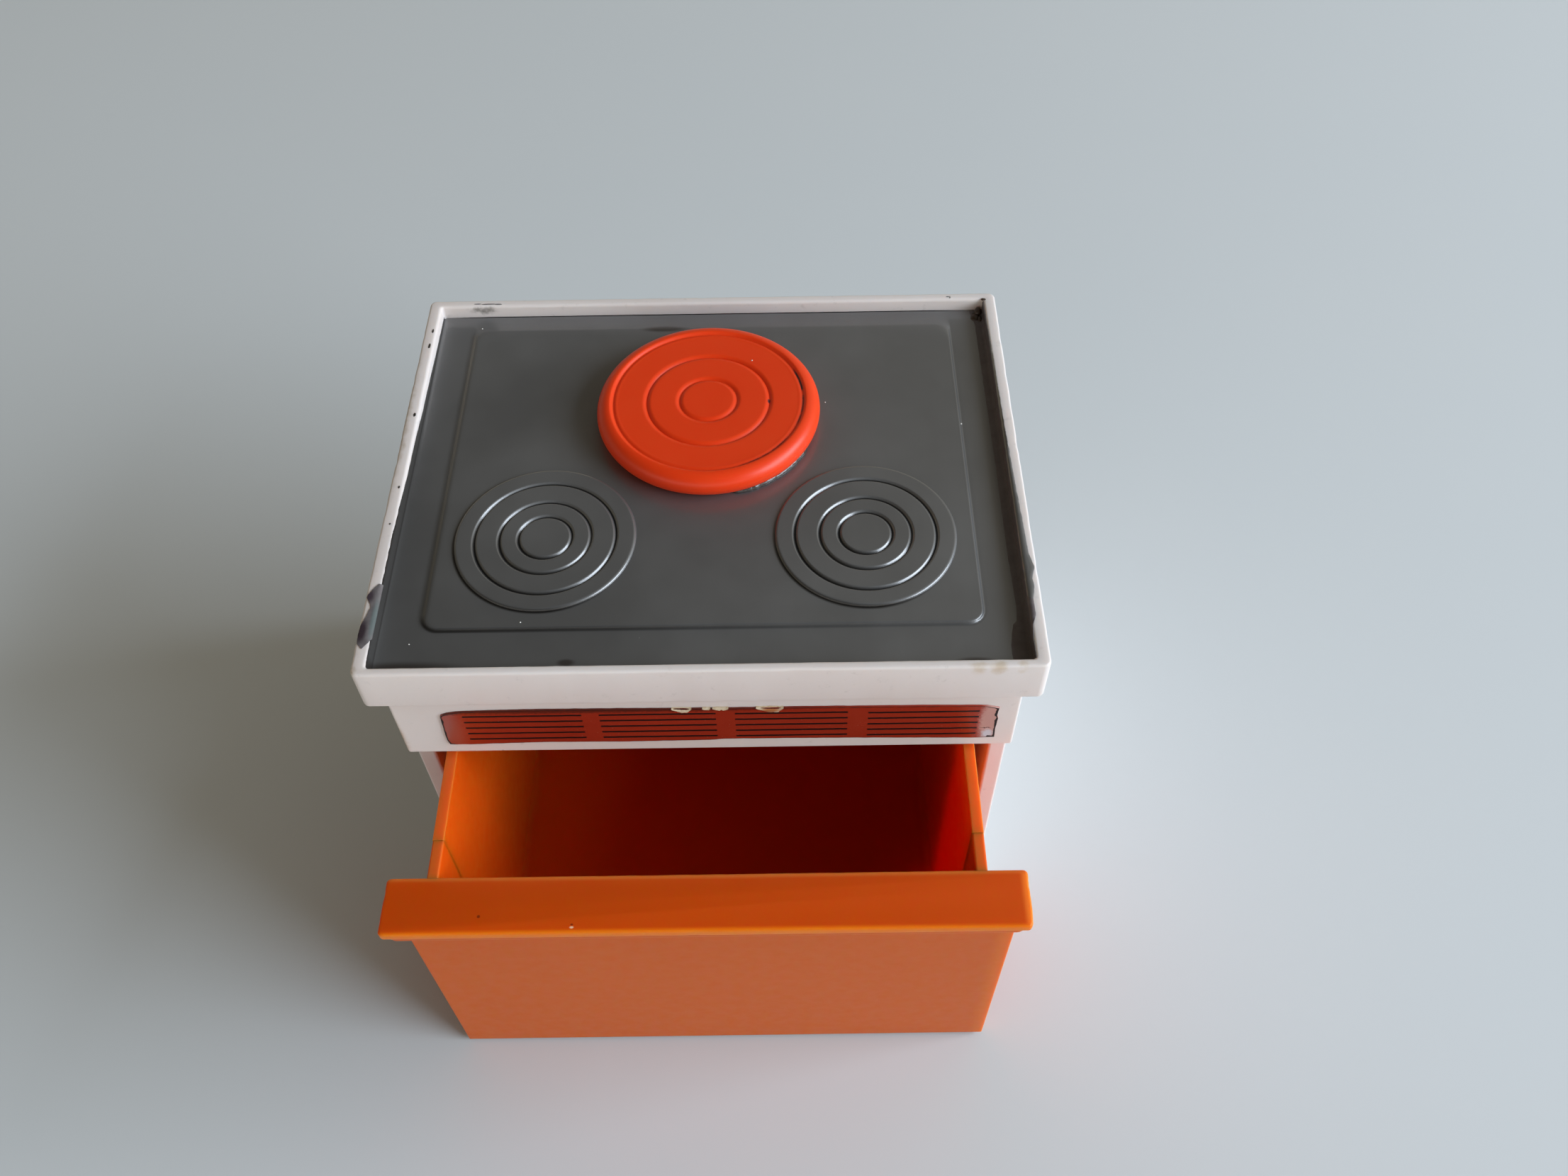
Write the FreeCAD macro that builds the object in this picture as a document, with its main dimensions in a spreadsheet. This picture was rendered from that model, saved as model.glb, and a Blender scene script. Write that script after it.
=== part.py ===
import FreeCAD, Part
import math
import os
import Sketcher
from FreeCAD import Vector
from types import SimpleNamespace

# Doll's kitchen unit: a small moulded cooker cabinet with a hob and one deep drawer.
# Frame: +X to the right, +Y to the back, +Z up, millimetres.
# Origin: the middle of the cabinet's underside. The drawer stands partly open.

doc = FreeCAD.newDocument("doll_kitchen")
sheet = doc.addObject("Spreadsheet::Sheet", "sizes")

SIZES = [
    # Worktop tray, seen from above as a shallow white frame round the hob
    ("tray_width", 70.0, "over the tray's left and right edges"),
    ("tray_depth", 56.0, "over the tray's front and back edges"),
    ("rim_top", 61.5, "table to the top of the tray's rim"),
    ("band_height", 5.8, "height of the tray's outer band"),
    ("rim_side", 1.5, "rim thickness, left and right"),
    ("rim_front", 1.0, "rim thickness, front"),
    ("rim_back", 1.2, "rim thickness, back"),
    ("tray_floor", 1.2, "floor of the tray under the hob"),
    ("tray_corner", 0.8, "radius of the tray's upright corners"),
    ("tray_edge", 0.3, "rounding of the tray's top and bottom edges"),
    ("recess_corner", 0.6, "radius of the recess's upright corners"),
    ("locator_wall", 1.2, "wall of the ring that centres the tray in the cabinet"),
    ("locator_depth", 2.0, "how far that ring reaches down"),
    ("seat_gap", 0.15, "gap round pieces that are set in and glued"),
    # Hob plate, set into the tray
    ("hob_level", 1.7, "rim top down to the grey surface"),
    ("hob_thickness", 1.0, "grey plate without its raised parts"),
    ("field_side", 4.4, "recess's side edges to the raised rectangle"),
    ("field_front", 5.6, "recess's front edge to the raised rectangle"),
    ("field_back", 2.4, "raised rectangle to the recess's back edge"),
    ("field_lift", 0.3, "height of the raised rectangle"),
    ("field_corner", 1.65, "radius of its corners"),
    ("soft_edge", 0.15, "bevel along the raised edges of the hob"),
    ("hotplate_radius", 9.87, "raised disc of each front hotplate"),
    ("hotplate_lift", 0.3, "height of that disc"),
    ("hotplate_spacing", 34.7, "between the two hotplate centres"),
    ("hotplate_forward", 9.5, "middle of the tray to the hotplate centres"),
    ("groove_width", 0.5, "engraved ring, across"),
    ("groove_depth", 0.28, "engraved ring, deep"),
    ("ring_large", 7.68, "radius of the outer engraved ring"),
    ("ring_middle", 4.98, "radius of the middle engraved ring"),
    ("ring_small", 2.9, "radius of the inner engraved ring"),
    # Round plate at the back, with a peg in a hole of the hob
    ("disc_radius", 12.85, "over its rounded rim"),
    ("disc_thickness", 3.1, "above the hob, and across its rounded rim"),
    ("disc_rearward", 8.54, "middle of the tray to its centre"),
    ("disc_dish", 0.25, "how far the middle lies below the rim"),
    ("disc_land", 0.08, "narrow flat between the rim's rounding and the outer ring"),
    ("disc_ring_middle", 7.06, "radius of the middle ring"),
    ("disc_ring_small", 3.31, "radius of the inner ring"),
    ("disc_groove", 0.6, "ring, across"),
    ("disc_groove_depth", 0.3, "ring, deep"),
    ("peg_radius", 3.0, "peg under the disc"),
    # Cabinet shell
    ("side_overhang", 1.75, "tray past the cabinet's sides"),
    ("end_overhang", 1.5, "tray past the cabinet's front and back"),
    ("side_wall", 2.0, "thickness of the side walls"),
    ("back_wall", 2.0, "thickness of the back wall"),
    ("fascia_wall", 2.0, "thickness of the front panel above the drawer"),
    ("fascia_height", 11.7, "front panel that shows below the tray's band"),
    ("shell_corner", 0.6, "radius of the cabinet's upright corners"),
    ("opening_corner", 0.4, "radius where a side wall meets the front panel's lower edge"),
    ("rib_width", 1.2, "guide rib, front to back"),
    ("rib_first", 8.0, "front panel's back to the first guide rib"),
    ("rib_last", 6.0, "last guide rib's front to the back wall"),
    ("rib_count", 3, "guide ribs on each side wall"),
    ("rib_rise", 6.0, "guide ribs' tops above the front panel's lower edge"),
    ("buffer_reach", 0.8, "buffer ribs proud of the back wall"),
    ("buffer_inset", 13.2, "drawer's side face to a buffer rib's middle"),
    # Base panel
    ("base_thickness", 1.5, "plate between the walls"),
    ("runner_height", 0.8, "runner above the plate"),
    ("runner_width", 2.0, "runner, across"),
    ("runner_inset", 9.2, "drawer's side face to a runner's middle"),
    ("runner_end", 1.5, "runner's ends from the plate's ends"),
    # Printed label on the front panel
    ("label_left", 5.05, "cabinet's left side to the label"),
    ("label_right", 2.2, "label to the cabinet's right side"),
    ("label_height", 6.35, "label, bottom to top"),
    ("label_drop", 3.3, "tray's band down to the label"),
    ("label_thickness", 0.2, "card with its film"),
    ("label_clip", 0.6, "corner cut off the label"),
    # Drawer
    ("rest_open", 16.7, "how far the drawer stands open"),
    ("shut_gap", 0.3, "left between drawer front and side walls when shut"),
    ("rim_gap", 0.5, "front panel's lower edge to the drawer's rim"),
    ("front_taper", 0.4, "drawer front narrower at its foot, on each side"),
    ("front_wall", 2.0, "thickness of the drawer front"),
    ("front_raise", 0.5, "table to the drawer front"),
    ("front_edge", 0.3, "rounding of the drawer front's edges"),
    ("lip_reach", 6.0, "lip below the pull, back to front"),
    ("lip_thickness", 1.1, "lip below the pull"),
    ("lip_inset", 0.5, "lip shorter than the pull at each end"),
    ("lip_corner", 1.0, "radius of the lip's front corners"),
    ("pull_overhang", 0.05, "pull past the drawer front's sides"),
    ("pull_reach", 6.3, "flat pull, back to front"),
    ("pull_thickness", 1.2, "flat pull"),
    ("pull_edge", 0.25, "rounding of the pull's edges"),
    ("side_gap", 2.05, "cabinet's inner side to the drawer's side, at the rim"),
    ("running_gap", 0.35, "guide rib to the drawer's side, at the rim"),
    ("lift_gap", 0.3, "runner to the drawer's floor"),
    ("back_gap", 0.3, "drawer's back to the buffer ribs when shut"),
    ("tub_wall", 1.25, "thickness of the drawer's walls"),
    ("tub_floor", 1.5, "thickness of the drawer's floor"),
    ("tub_draft", 0.5, "slope of the drawer's side walls in degrees"),
    ("tub_corner", 1.5, "radius of the drawer's outer edges"),
    ("tub_inner_corner", 1.0, "radius along the drawer's inner floor"),
    ("cheek_length", 4.3, "short side walls moulded on the drawer front"),
    ("cheek_step", 0.25, "cheek's rim below the drawer's rim"),
    ("lug_height", 1.5, "stop lug above the rim"),
    ("lug_start", 6.0, "stop lug's front to the drawer's back"),
    ("overrun", 1.0, "how far every cut runs past the solid"),
]


class Amount:
    """A size or place that carries its formula for the document and its value."""

    def __init__(self, formula, value):
        self.formula = formula
        self.value = value

    def __add__(self, other):
        return Amount(f"({self.formula} + {other.formula})", self.value + other.value)

    def __sub__(self, other):
        return Amount(f"({self.formula} - {other.formula})", self.value - other.value)

    def __neg__(self):
        return Amount(f"(-{self.formula})", -self.value)

    def __truediv__(self, share):
        return Amount(f"({self.formula} / {share})", self.value / share)

    def times_tan(self, angle):
        """This length times the tangent of an angle in degrees."""
        return Amount(f"({self.formula} * tan({angle.formula}))",
                      self.value * math.tan(math.radians(angle.value)))


size = SimpleNamespace()
for row, (alias, value, note) in enumerate(SIZES, start=1):
    sheet.set(f"A{row}", alias)
    sheet.set(f"B{row}", str(value))
    sheet.setAlias(f"B{row}", alias)
    sheet.set(f"C{row}", note)
    setattr(size, alias, Amount(f"sizes.{alias}", value))
doc.recompute()

# Places that more than one piece follows. Names that end in X or Y are measured from
# the middle of the unit, the others from the table.
ZERO = Amount("0", 0)
TRAY_X = size.tray_width / 2
TRAY_Y = size.tray_depth / 2
SHELL_X = TRAY_X - size.side_overhang
SHELL_Y = TRAY_Y - size.end_overhang
HOLLOW_X = SHELL_X - size.side_wall
HOLLOW_FRONT_Y = size.fascia_wall - SHELL_Y
HOLLOW_BACK_Y = SHELL_Y - size.back_wall
RECESS_X = TRAY_X - size.rim_side
RECESS_FRONT_Y = size.rim_front - TRAY_Y
RECESS_BACK_Y = TRAY_Y - size.rim_back
BAND_BOTTOM = size.rim_top - size.band_height
HOB_SURFACE = size.rim_top - size.hob_level
HOB_BOTTOM = HOB_SURFACE - size.hob_thickness
SHELL_TOP = HOB_BOTTOM - size.tray_floor
FIELD_TOP = HOB_SURFACE + size.field_lift
HOTPLATE_TOP = FIELD_TOP + size.hotplate_lift
FASCIA_BOTTOM = BAND_BOTTOM - size.fascia_height
RIB_TOP = FASCIA_BOTTOM + size.rib_rise
DRAWER_TOP = FASCIA_BOTTOM - size.rim_gap
LIP_TOP = DRAWER_TOP - size.pull_thickness
TUB_X = HOLLOW_X - size.side_gap
TUB_BOTTOM = size.base_thickness + size.runner_height + size.lift_gap
TUB_FLOOR_TOP = TUB_BOTTOM + size.tub_floor
TUB_LENGTH = (HOLLOW_BACK_Y - HOLLOW_FRONT_Y + size.shut_gap
              - size.buffer_reach - size.back_gap)
PULL_X = SHELL_X + size.pull_overhang
DRAWER_Y = HOLLOW_FRONT_Y - size.rest_open

POINT_START = 1
POINT_END = 2
POINT_CENTRE = 3
ROOT_POINT = -1
NEARLY = 1e-6
AXIS_X, AXIS_Y, AXIS_Z = Vector(1, 0, 0), Vector(0, 1, 0), Vector(0, 0, 1)


def near(one, other):
    return abs(one - other) < NEARLY


def new_body(name):
    body = doc.addObject("PartDesign::Body", name)
    body.Label = name
    return body


def origin_feature(body, role):
    return next(item for item in body.Origin.OriginFeatures if item.Role == role)


def new_sketch(body, name, role, offset=ZERO):
    """A sketch parallel to one of the body's own origin planes, moved along its normal."""
    sketch = body.newObject("Sketcher::SketchObject", name)
    sketch.AttachmentSupport = (origin_feature(body, role), [""])
    sketch.MapMode = "FlatFace"
    sketch.setExpression("AttachmentOffset.Base.z", offset.formula)
    return sketch


def fix_distance(sketch, kind, geometry, point, now, amount):
    """Hold one point of a sketch at an amount across or along from the sketch's origin."""
    index = sketch.addConstraint(
        Sketcher.Constraint(kind, ROOT_POINT, POINT_START, geometry, point, now))
    sketch.setExpression(f"Constraints[{index}]", amount.formula)


def place_point(sketch, geometry, point, across, along):
    spot = sketch.getPoint(geometry, point)
    fix_distance(sketch, "DistanceX", geometry, point, spot.x, across)
    fix_distance(sketch, "DistanceY", geometry, point, spot.y, along)


def outline(sketch, corners, bulge=None):
    """A closed outline through its corners, drawn small and then held in place.

    The sides are straight, but the one that starts at corner number bulge is half a circle.
    """
    first = sketch.GeometryCount
    total = len(corners)
    turns = [math.tau * i / total for i in range(total + 1)]
    spots = [Vector(math.cos(turn), math.sin(turn), 0) for turn in turns]
    for i in range(total):
        if i == bulge:
            outwards = spots[i] + spots[i + 1]
            sketch.addGeometry(Part.Arc(spots[i], outwards, spots[i + 1]))
        else:
            sketch.addGeometry(Part.LineSegment(spots[i], spots[i + 1]))
    for i in range(total):
        following = first + (i + 1) % total
        sketch.addConstraint(
            Sketcher.Constraint("Coincident", first + i, POINT_END, following, POINT_START))
    for i, (across, along) in enumerate(corners):
        place_point(sketch, first + i, POINT_START, across, along)
    if bulge is not None:
        spot = sketch.getPoint(first + bulge, POINT_CENTRE)
        fix_distance(sketch, "DistanceX", first + bulge, POINT_CENTRE, spot.x, corners[bulge][0])


def rectangle(sketch, left, right, low, high):
    outline(sketch, [(left, low), (right, low), (right, high), (left, high)])


def circle(sketch, across, along, radius):
    index = sketch.addGeometry(Part.Circle(Vector(1, 1, 0), AXIS_Z, 1))
    place_point(sketch, index, POINT_CENTRE, across, along)
    constraint = sketch.addConstraint(Sketcher.Constraint("Radius", index, 1))
    sketch.setExpression(f"Constraints[{constraint}]", radius.formula)


def extrude(body, kind, name, sketch, length, reverse=False):
    """A Pad or a Pocket of one sketch; a Pocket has to take something away."""
    before = body.Shape.Volume if body.Tip else 0
    feature = body.newObject(f"PartDesign::{kind}", name)
    feature.Profile = sketch
    feature.Reversed = reverse
    feature.setExpression("Length", length.formula)
    doc.recompute()
    if kind == "Pocket" and not feature.Shape.Volume < before:
        raise RuntimeError(f"{name} cuts nothing")
    return feature


def pad(body, name, sketch, length, reverse=False):
    return extrude(body, "Pad", name, sketch, length, reverse)


def pocket(body, name, sketch, length, reverse=False):
    return extrude(body, "Pocket", name, sketch, length, reverse)


def edge_names(shape, wanted):
    """Names of the edges that pass a test."""
    return [f"Edge{number}" for number, edge in enumerate(shape.Edges, start=1) if wanted(edge)]


def runs_along(edge, direction):
    """Whether an edge is straight and parallel to a direction."""
    if edge.Curve.TypeId != "Part::GeomLine":
        return False
    along = (edge.Vertexes[-1].Point - edge.Vertexes[0].Point).normalize()
    return near(abs(along.dot(direction)), 1)


def is_circle(edge, radius):
    return edge.Curve.TypeId == "Part::GeomCircle" and near(edge.Curve.Radius, radius.value)


def dress_edges(body, kind, name, feature, edges, amount):
    """Round some edges of a feature with a Fillet, or bevel them with a Chamfer."""
    if not edges:
        raise RuntimeError(f"{name} finds no edge")
    dressing = body.newObject(f"PartDesign::{kind}", name)
    dressing.Base = (feature, edges)
    dressing.setExpression("Radius" if kind == "Fillet" else "Size", amount.formula)
    doc.recompute()
    return dressing


def round_edges(body, name, feature, edges, radius):
    return dress_edges(body, "Fillet", name, feature, edges, radius)


def bevel_edges(body, name, feature, edges, width):
    return dress_edges(body, "Chamfer", name, feature, edges, width)


def upright_axis(sketch, across):
    """A helper line up the sketch, for a profile that turns about its own centre."""
    index = sketch.addGeometry(Part.LineSegment(Vector(1, 0, 0), Vector(1, 1, 0)), True)
    place_point(sketch, index, POINT_START, across, ZERO)
    sketch.addConstraint(Sketcher.Constraint("Vertical", index))
    sketch.addConstraint(
        Sketcher.Constraint("DistanceY", index, POINT_START, index, POINT_END, 1.0))
    return (sketch, ["Axis0"])


def mirrored(body, name, features):
    """The same features again on the other side of the middle plane."""
    mirror = body.newObject("PartDesign::Mirrored", name)
    mirror.Originals = features
    mirror.MirrorPlane = (origin_feature(body, "YZ_Plane"), [""])
    body.Tip = mirror
    doc.recompute()
    return mirror


# Cabinet shell: one white moulding of two sides, a back and the panel above the drawer.
# Upright ribs inside keep the drawer straight, and two more stop it at the back.

def build_cabinet_shell():
    body = new_body("cabinet_shell")

    block = new_sketch(body, "shell_outline", "XY_Plane")
    rectangle(block, -SHELL_X, SHELL_X, -SHELL_Y, SHELL_Y)
    walls = pad(body, "shell_block", block, SHELL_TOP)

    corners = edge_names(walls.Shape, lambda edge: runs_along(edge, AXIS_Z))
    round_edges(body, "shell_corners", walls, corners, size.shell_corner)

    hollow = new_sketch(body, "hollow_outline", "XY_Plane", SHELL_TOP)
    rectangle(hollow, -HOLLOW_X, HOLLOW_X, HOLLOW_FRONT_Y, HOLLOW_BACK_Y)
    pocket(body, "hollow", hollow, SHELL_TOP)

    mouth = new_sketch(body, "mouth_outline", "XZ_Plane", SHELL_Y)
    rectangle(mouth, -SHELL_X - size.overrun, SHELL_X + size.overrun,
              -size.overrun, FASCIA_BOTTOM)
    opening = pocket(body, "drawer_mouth", mouth, size.fascia_wall)

    corners = edge_names(opening.Shape, lambda edge: (
        runs_along(edge, AXIS_X) and near(edge.CenterOfMass.z, FASCIA_BOTTOM.value)
        and abs(edge.CenterOfMass.x) > HOLLOW_X.value))
    round_edges(body, "opening_corners", opening, corners, size.opening_corner)

    ribs = new_sketch(body, "rib_outline", "XY_Plane", size.base_thickness)
    front = HOLLOW_FRONT_Y + size.rib_first
    root = HOLLOW_X + size.side_wall / 2
    tip = TUB_X + size.running_gap
    rectangle(ribs, -root, -tip, front, front + size.rib_width)
    rectangle(ribs, tip, root, front, front + size.rib_width)
    first = pad(body, "guide_rib", ribs, RIB_TOP - size.base_thickness)
    row = body.newObject("PartDesign::LinearPattern", "guide_ribs")
    row.Originals = [first]
    row.Direction = (origin_feature(body, "Y_Axis"), [""])
    row.setExpression("Length", (HOLLOW_BACK_Y - size.rib_last - front).formula)
    row.setExpression("Occurrences", size.rib_count.formula)
    body.Tip = row
    doc.recompute()

    buffer = new_sketch(body, "buffer_outline", "XY_Plane", size.base_thickness)
    middle = TUB_X - size.buffer_inset
    rectangle(buffer, middle - size.rib_width / 2, middle + size.rib_width / 2,
              HOLLOW_BACK_Y - size.buffer_reach, HOLLOW_BACK_Y + size.back_wall / 2)
    rib = pad(body, "buffer_rib", buffer, RIB_TOP - size.base_thickness)
    mirrored(body, "buffer_ribs", [rib])
    return body


# Base panel: a white plate set in between the walls, with two runners for the drawer.

def build_base_panel():
    body = new_body("base_panel")
    plate = new_sketch(body, "plate_outline", "XY_Plane")
    side = HOLLOW_X - size.seat_gap
    back = HOLLOW_BACK_Y - size.seat_gap
    rectangle(plate, -side, side, HOLLOW_FRONT_Y, back)
    pad(body, "plate", plate, size.base_thickness)

    runner = new_sketch(body, "runner_outline", "XY_Plane", size.base_thickness)
    middle = TUB_X - size.runner_inset
    rectangle(runner, middle - size.runner_width / 2, middle + size.runner_width / 2,
              HOLLOW_FRONT_Y + size.runner_end, back - size.runner_end)
    one = pad(body, "runner", runner, size.runner_height)
    mirrored(body, "runners", [one])
    return body


# Worktop tray: a white lid with a shallow recess for the hob. Its band hangs over the
# cabinet's walls, and a ring below its floor centres it in the cabinet.

def build_worktop_tray():
    body = new_body("worktop_tray")
    band = new_sketch(body, "band_outline", "XY_Plane", size.rim_top)
    rectangle(band, -TRAY_X, TRAY_X, -TRAY_Y, TRAY_Y)
    block = pad(body, "band_block", band, size.band_height, reverse=True)

    corners = edge_names(block.Shape, lambda edge: runs_along(edge, AXIS_Z))
    rounded = round_edges(body, "band_corners", block, corners, size.tray_corner)
    level = edge_names(rounded.Shape, lambda edge: (
        runs_along(edge, AXIS_X) or runs_along(edge, AXIS_Y)))
    round_edges(body, "band_edges", rounded, level, size.tray_edge)

    recess = new_sketch(body, "recess_outline", "XY_Plane", size.rim_top)
    rectangle(recess, -RECESS_X, RECESS_X, RECESS_FRONT_Y, RECESS_BACK_Y)
    cut = pocket(body, "recess", recess, size.hob_level + size.hob_thickness)
    corners = edge_names(cut.Shape, lambda edge: (
        runs_along(edge, AXIS_Z) and near(abs(edge.CenterOfMass.x), RECESS_X.value)))
    round_edges(body, "recess_corners", cut, corners, size.recess_corner)

    inside = new_sketch(body, "band_inside", "XY_Plane", BAND_BOTTOM)
    rectangle(inside, -SHELL_X - size.seat_gap, SHELL_X + size.seat_gap,
              -SHELL_Y - size.seat_gap, SHELL_Y + size.seat_gap)
    pocket(body, "band_hollow", inside, SHELL_TOP - BAND_BOTTOM, reverse=True)

    ring = new_sketch(body, "locator_outline", "XY_Plane", SHELL_TOP)
    side = HOLLOW_X - size.seat_gap
    front = HOLLOW_FRONT_Y + size.seat_gap
    back = HOLLOW_BACK_Y - size.seat_gap
    rectangle(ring, -side, side, front, back)
    rectangle(ring, size.locator_wall - side, side - size.locator_wall,
              front + size.locator_wall, back - size.locator_wall)
    pad(body, "locator", ring, size.locator_depth, reverse=True)
    return body


# Hob plate: a thin grey plate with a raised field, two raised round hotplates with
# engraved rings, and a hole for the round plate's peg.

def build_hob_plate():
    body = new_body("hob_plate")
    plate = new_sketch(body, "hob_outline", "XY_Plane", HOB_BOTTOM)
    rectangle(plate, size.seat_gap - RECESS_X, RECESS_X - size.seat_gap,
              RECESS_FRONT_Y + size.seat_gap, RECESS_BACK_Y - size.seat_gap)
    base = pad(body, "hob_sheet", plate, size.hob_thickness)
    corners = edge_names(base.Shape, lambda edge: runs_along(edge, AXIS_Z))
    round_edges(body, "hob_corners", base, corners, size.recess_corner)

    field = new_sketch(body, "field_outline", "XY_Plane", HOB_SURFACE)
    side = RECESS_X - size.field_side
    rectangle(field, -side, side,
              RECESS_FRONT_Y + size.field_front, RECESS_BACK_Y - size.field_back)
    raised = pad(body, "raised_field", field, size.field_lift)
    corners = edge_names(raised.Shape, lambda edge: (
        runs_along(edge, AXIS_Z) and near(abs(edge.CenterOfMass.x), side.value)))
    raised = round_edges(body, "field_corners", raised, corners, size.field_corner)
    rim = edge_names(raised.Shape, lambda edge: (
        runs_along(edge, AXIS_X) and near(edge.CenterOfMass.z, FIELD_TOP.value)))
    bevel_edges(body, "field_rim", raised, rim, size.soft_edge)

    plates = new_sketch(body, "hotplate_outline", "XY_Plane", HOB_SURFACE)
    centre_x = size.hotplate_spacing / 2
    circle(plates, centre_x, -size.hotplate_forward, size.hotplate_radius)
    right = pad(body, "hotplate", plates, HOTPLATE_TOP - HOB_SURFACE)

    rings = new_sketch(body, "ring_profiles", "XZ_Plane", size.hotplate_forward)
    for radius in (size.ring_large, size.ring_middle, size.ring_small):
        middle = centre_x + radius
        outline(rings, [(middle - size.groove_width / 2, HOTPLATE_TOP),
                        (middle, HOTPLATE_TOP - size.groove_depth),
                        (middle + size.groove_width / 2, HOTPLATE_TOP)])
    before = right.Shape.Volume
    grooves = body.newObject("PartDesign::Groove", "engraved_rings")
    grooves.Profile = rings
    grooves.ReferenceAxis = upright_axis(rings, centre_x)
    doc.recompute()
    if not grooves.Shape.Volume < before:
        raise RuntimeError("the rings cut nothing")
    both = mirrored(body, "left_hotplate", [right, grooves])
    rims = edge_names(both.Shape, lambda edge: (
        is_circle(edge, size.hotplate_radius) and near(edge.CenterOfMass.z, HOTPLATE_TOP.value)))
    bevel_edges(body, "hotplate_rims", both, rims, size.soft_edge)

    hole = new_sketch(body, "peg_hole_outline", "XY_Plane", FIELD_TOP)
    circle(hole, ZERO, size.disc_rearward, size.peg_radius + size.seat_gap)
    pocket(body, "peg_hole", hole, FIELD_TOP - HOB_BOTTOM + size.overrun)
    return body


# Round plate: turned orange plastic in one profile, with a rounded rim, three shallow
# rings in its top and a peg that is glued into the hob.

def build_hotplate_disc():
    body = new_body("hotplate_disc")
    half = size.disc_groove / 2
    rim_x = size.disc_radius - size.disc_thickness / 2
    ring_large = rim_x - size.disc_land - half
    flat = size.disc_thickness - size.disc_dish
    peg_end = HOB_BOTTOM - FIELD_TOP
    corners = [(ZERO, peg_end), (size.peg_radius, peg_end), (size.peg_radius, ZERO), (rim_x, ZERO)]
    rim_start = len(corners) - 1
    corners.append((rim_x, size.disc_thickness))
    outer_edge = size.disc_thickness
    for radius in (ring_large, size.disc_ring_middle, size.disc_ring_small):
        corners += [(radius + half, outer_edge),
                    (radius, flat - size.disc_groove_depth),
                    (radius - half, flat)]
        outer_edge = flat
    corners.append((ZERO, flat))
    profile = new_sketch(body, "disc_profile", "XZ_Plane")
    outline(profile, corners, rim_start)
    turned = body.newObject("PartDesign::Revolution", "disc_turned")
    turned.Profile = profile
    turned.ReferenceAxis = (origin_feature(body, "Z_Axis"), [""])
    body.setExpression("Placement.Base.y", size.disc_rearward.formula)
    body.setExpression("Placement.Base.z", FIELD_TOP.formula)
    return body


# Printed label: a strip of card on the front panel, its corners trimmed by hand.

def build_grille_label():
    body = new_body("grille_label")
    card = new_sketch(body, "label_outline", "XZ_Plane", SHELL_Y)
    left = size.label_left - SHELL_X
    right = SHELL_X - size.label_right
    high = BAND_BOTTOM - size.label_drop
    low = high - size.label_height
    clip = size.label_clip
    outline(card, [(left, low), (right - clip / 2, low), (right, low + clip / 2),
                   (right, high - clip), (right - clip, high),
                   (left + clip, high), (left, high - clip)])
    pad(body, "label_card", card, size.label_thickness)
    return body


# The tub and the collar behind the drawer front share one U-shaped section, whose
# side walls lean outwards towards the rim.

def outer_wall(height):
    """Half the drawer's width over its side walls, at a height above the table."""
    return TUB_X - (DRAWER_TOP - height).times_tan(size.tub_draft)


def tub_section(sketch, rim):
    outline(sketch,
            [(-outer_wall(rim), rim),
             (-outer_wall(TUB_BOTTOM), TUB_BOTTOM),
             (outer_wall(TUB_BOTTOM), TUB_BOTTOM),
             (outer_wall(rim), rim),
             (outer_wall(rim) - size.tub_wall, rim),
             (outer_wall(TUB_FLOOR_TOP) - size.tub_wall, TUB_FLOOR_TOP),
             (size.tub_wall - outer_wall(TUB_FLOOR_TOP), TUB_FLOOR_TOP),
             (size.tub_wall - outer_wall(rim), rim)])


def round_floor(body, solid):
    """Round the long edges under the floor and the corners along its inside."""
    outer = edge_names(solid.Shape, lambda edge: (
        runs_along(edge, AXIS_Y) and near(edge.CenterOfMass.z, TUB_BOTTOM.value)))
    solid = round_edges(body, f"{body.Name}_outer_edges", solid, outer, size.tub_corner)
    inner = edge_names(solid.Shape, lambda edge: (
        runs_along(edge, AXIS_Y) and near(edge.CenterOfMass.z, TUB_FLOOR_TOP.value)))
    round_edges(body, f"{body.Name}_inner_edges", solid, inner, size.tub_inner_corner)


# Drawer front: the orange panel with the two short cheeks and the strip of floor that
# the tub is joined to, and the rounded lip that carries the pull.

def build_drawer_front():
    body = new_body("drawer_front")
    panel = new_sketch(body, "panel_outline", "XZ_Plane")
    foot = SHELL_X - size.front_taper
    outline(panel, [(-foot, size.front_raise), (foot, size.front_raise),
                    (SHELL_X, LIP_TOP), (-SHELL_X, LIP_TOP)])
    front = pad(body, "panel", panel, size.front_wall)
    names = edge_names(front.Shape, lambda edge: (
        near(edge.CenterOfMass.y, -size.front_wall.value)
        and edge.CenterOfMass.z < LIP_TOP.value - NEARLY))
    round_edges(body, "panel_edges", front, names, size.front_edge)

    lip = new_sketch(body, "lip_outline", "XY_Plane", LIP_TOP)
    side = PULL_X - size.lip_inset
    rectangle(lip, -side, side, -size.lip_reach, -size.front_wall / 2)
    shelf = pad(body, "lip", lip, size.lip_thickness, reverse=True)
    corners = edge_names(shelf.Shape, lambda edge: (
        runs_along(edge, AXIS_Z) and near(edge.CenterOfMass.y, -size.lip_reach.value)))
    round_edges(body, "lip_corners", shelf, corners, size.lip_corner)

    collar = new_sketch(body, "collar_outline", "XZ_Plane")
    tub_section(collar, DRAWER_TOP - size.cheek_step)
    cheeks = pad(body, "collar", collar, size.cheek_length, reverse=True)
    round_floor(body, cheeks)
    body.setExpression("Placement.Base.y", DRAWER_Y.formula)
    return body


# Pull: a flat orange strip on top of the drawer front, sticking out to be held.

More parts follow.
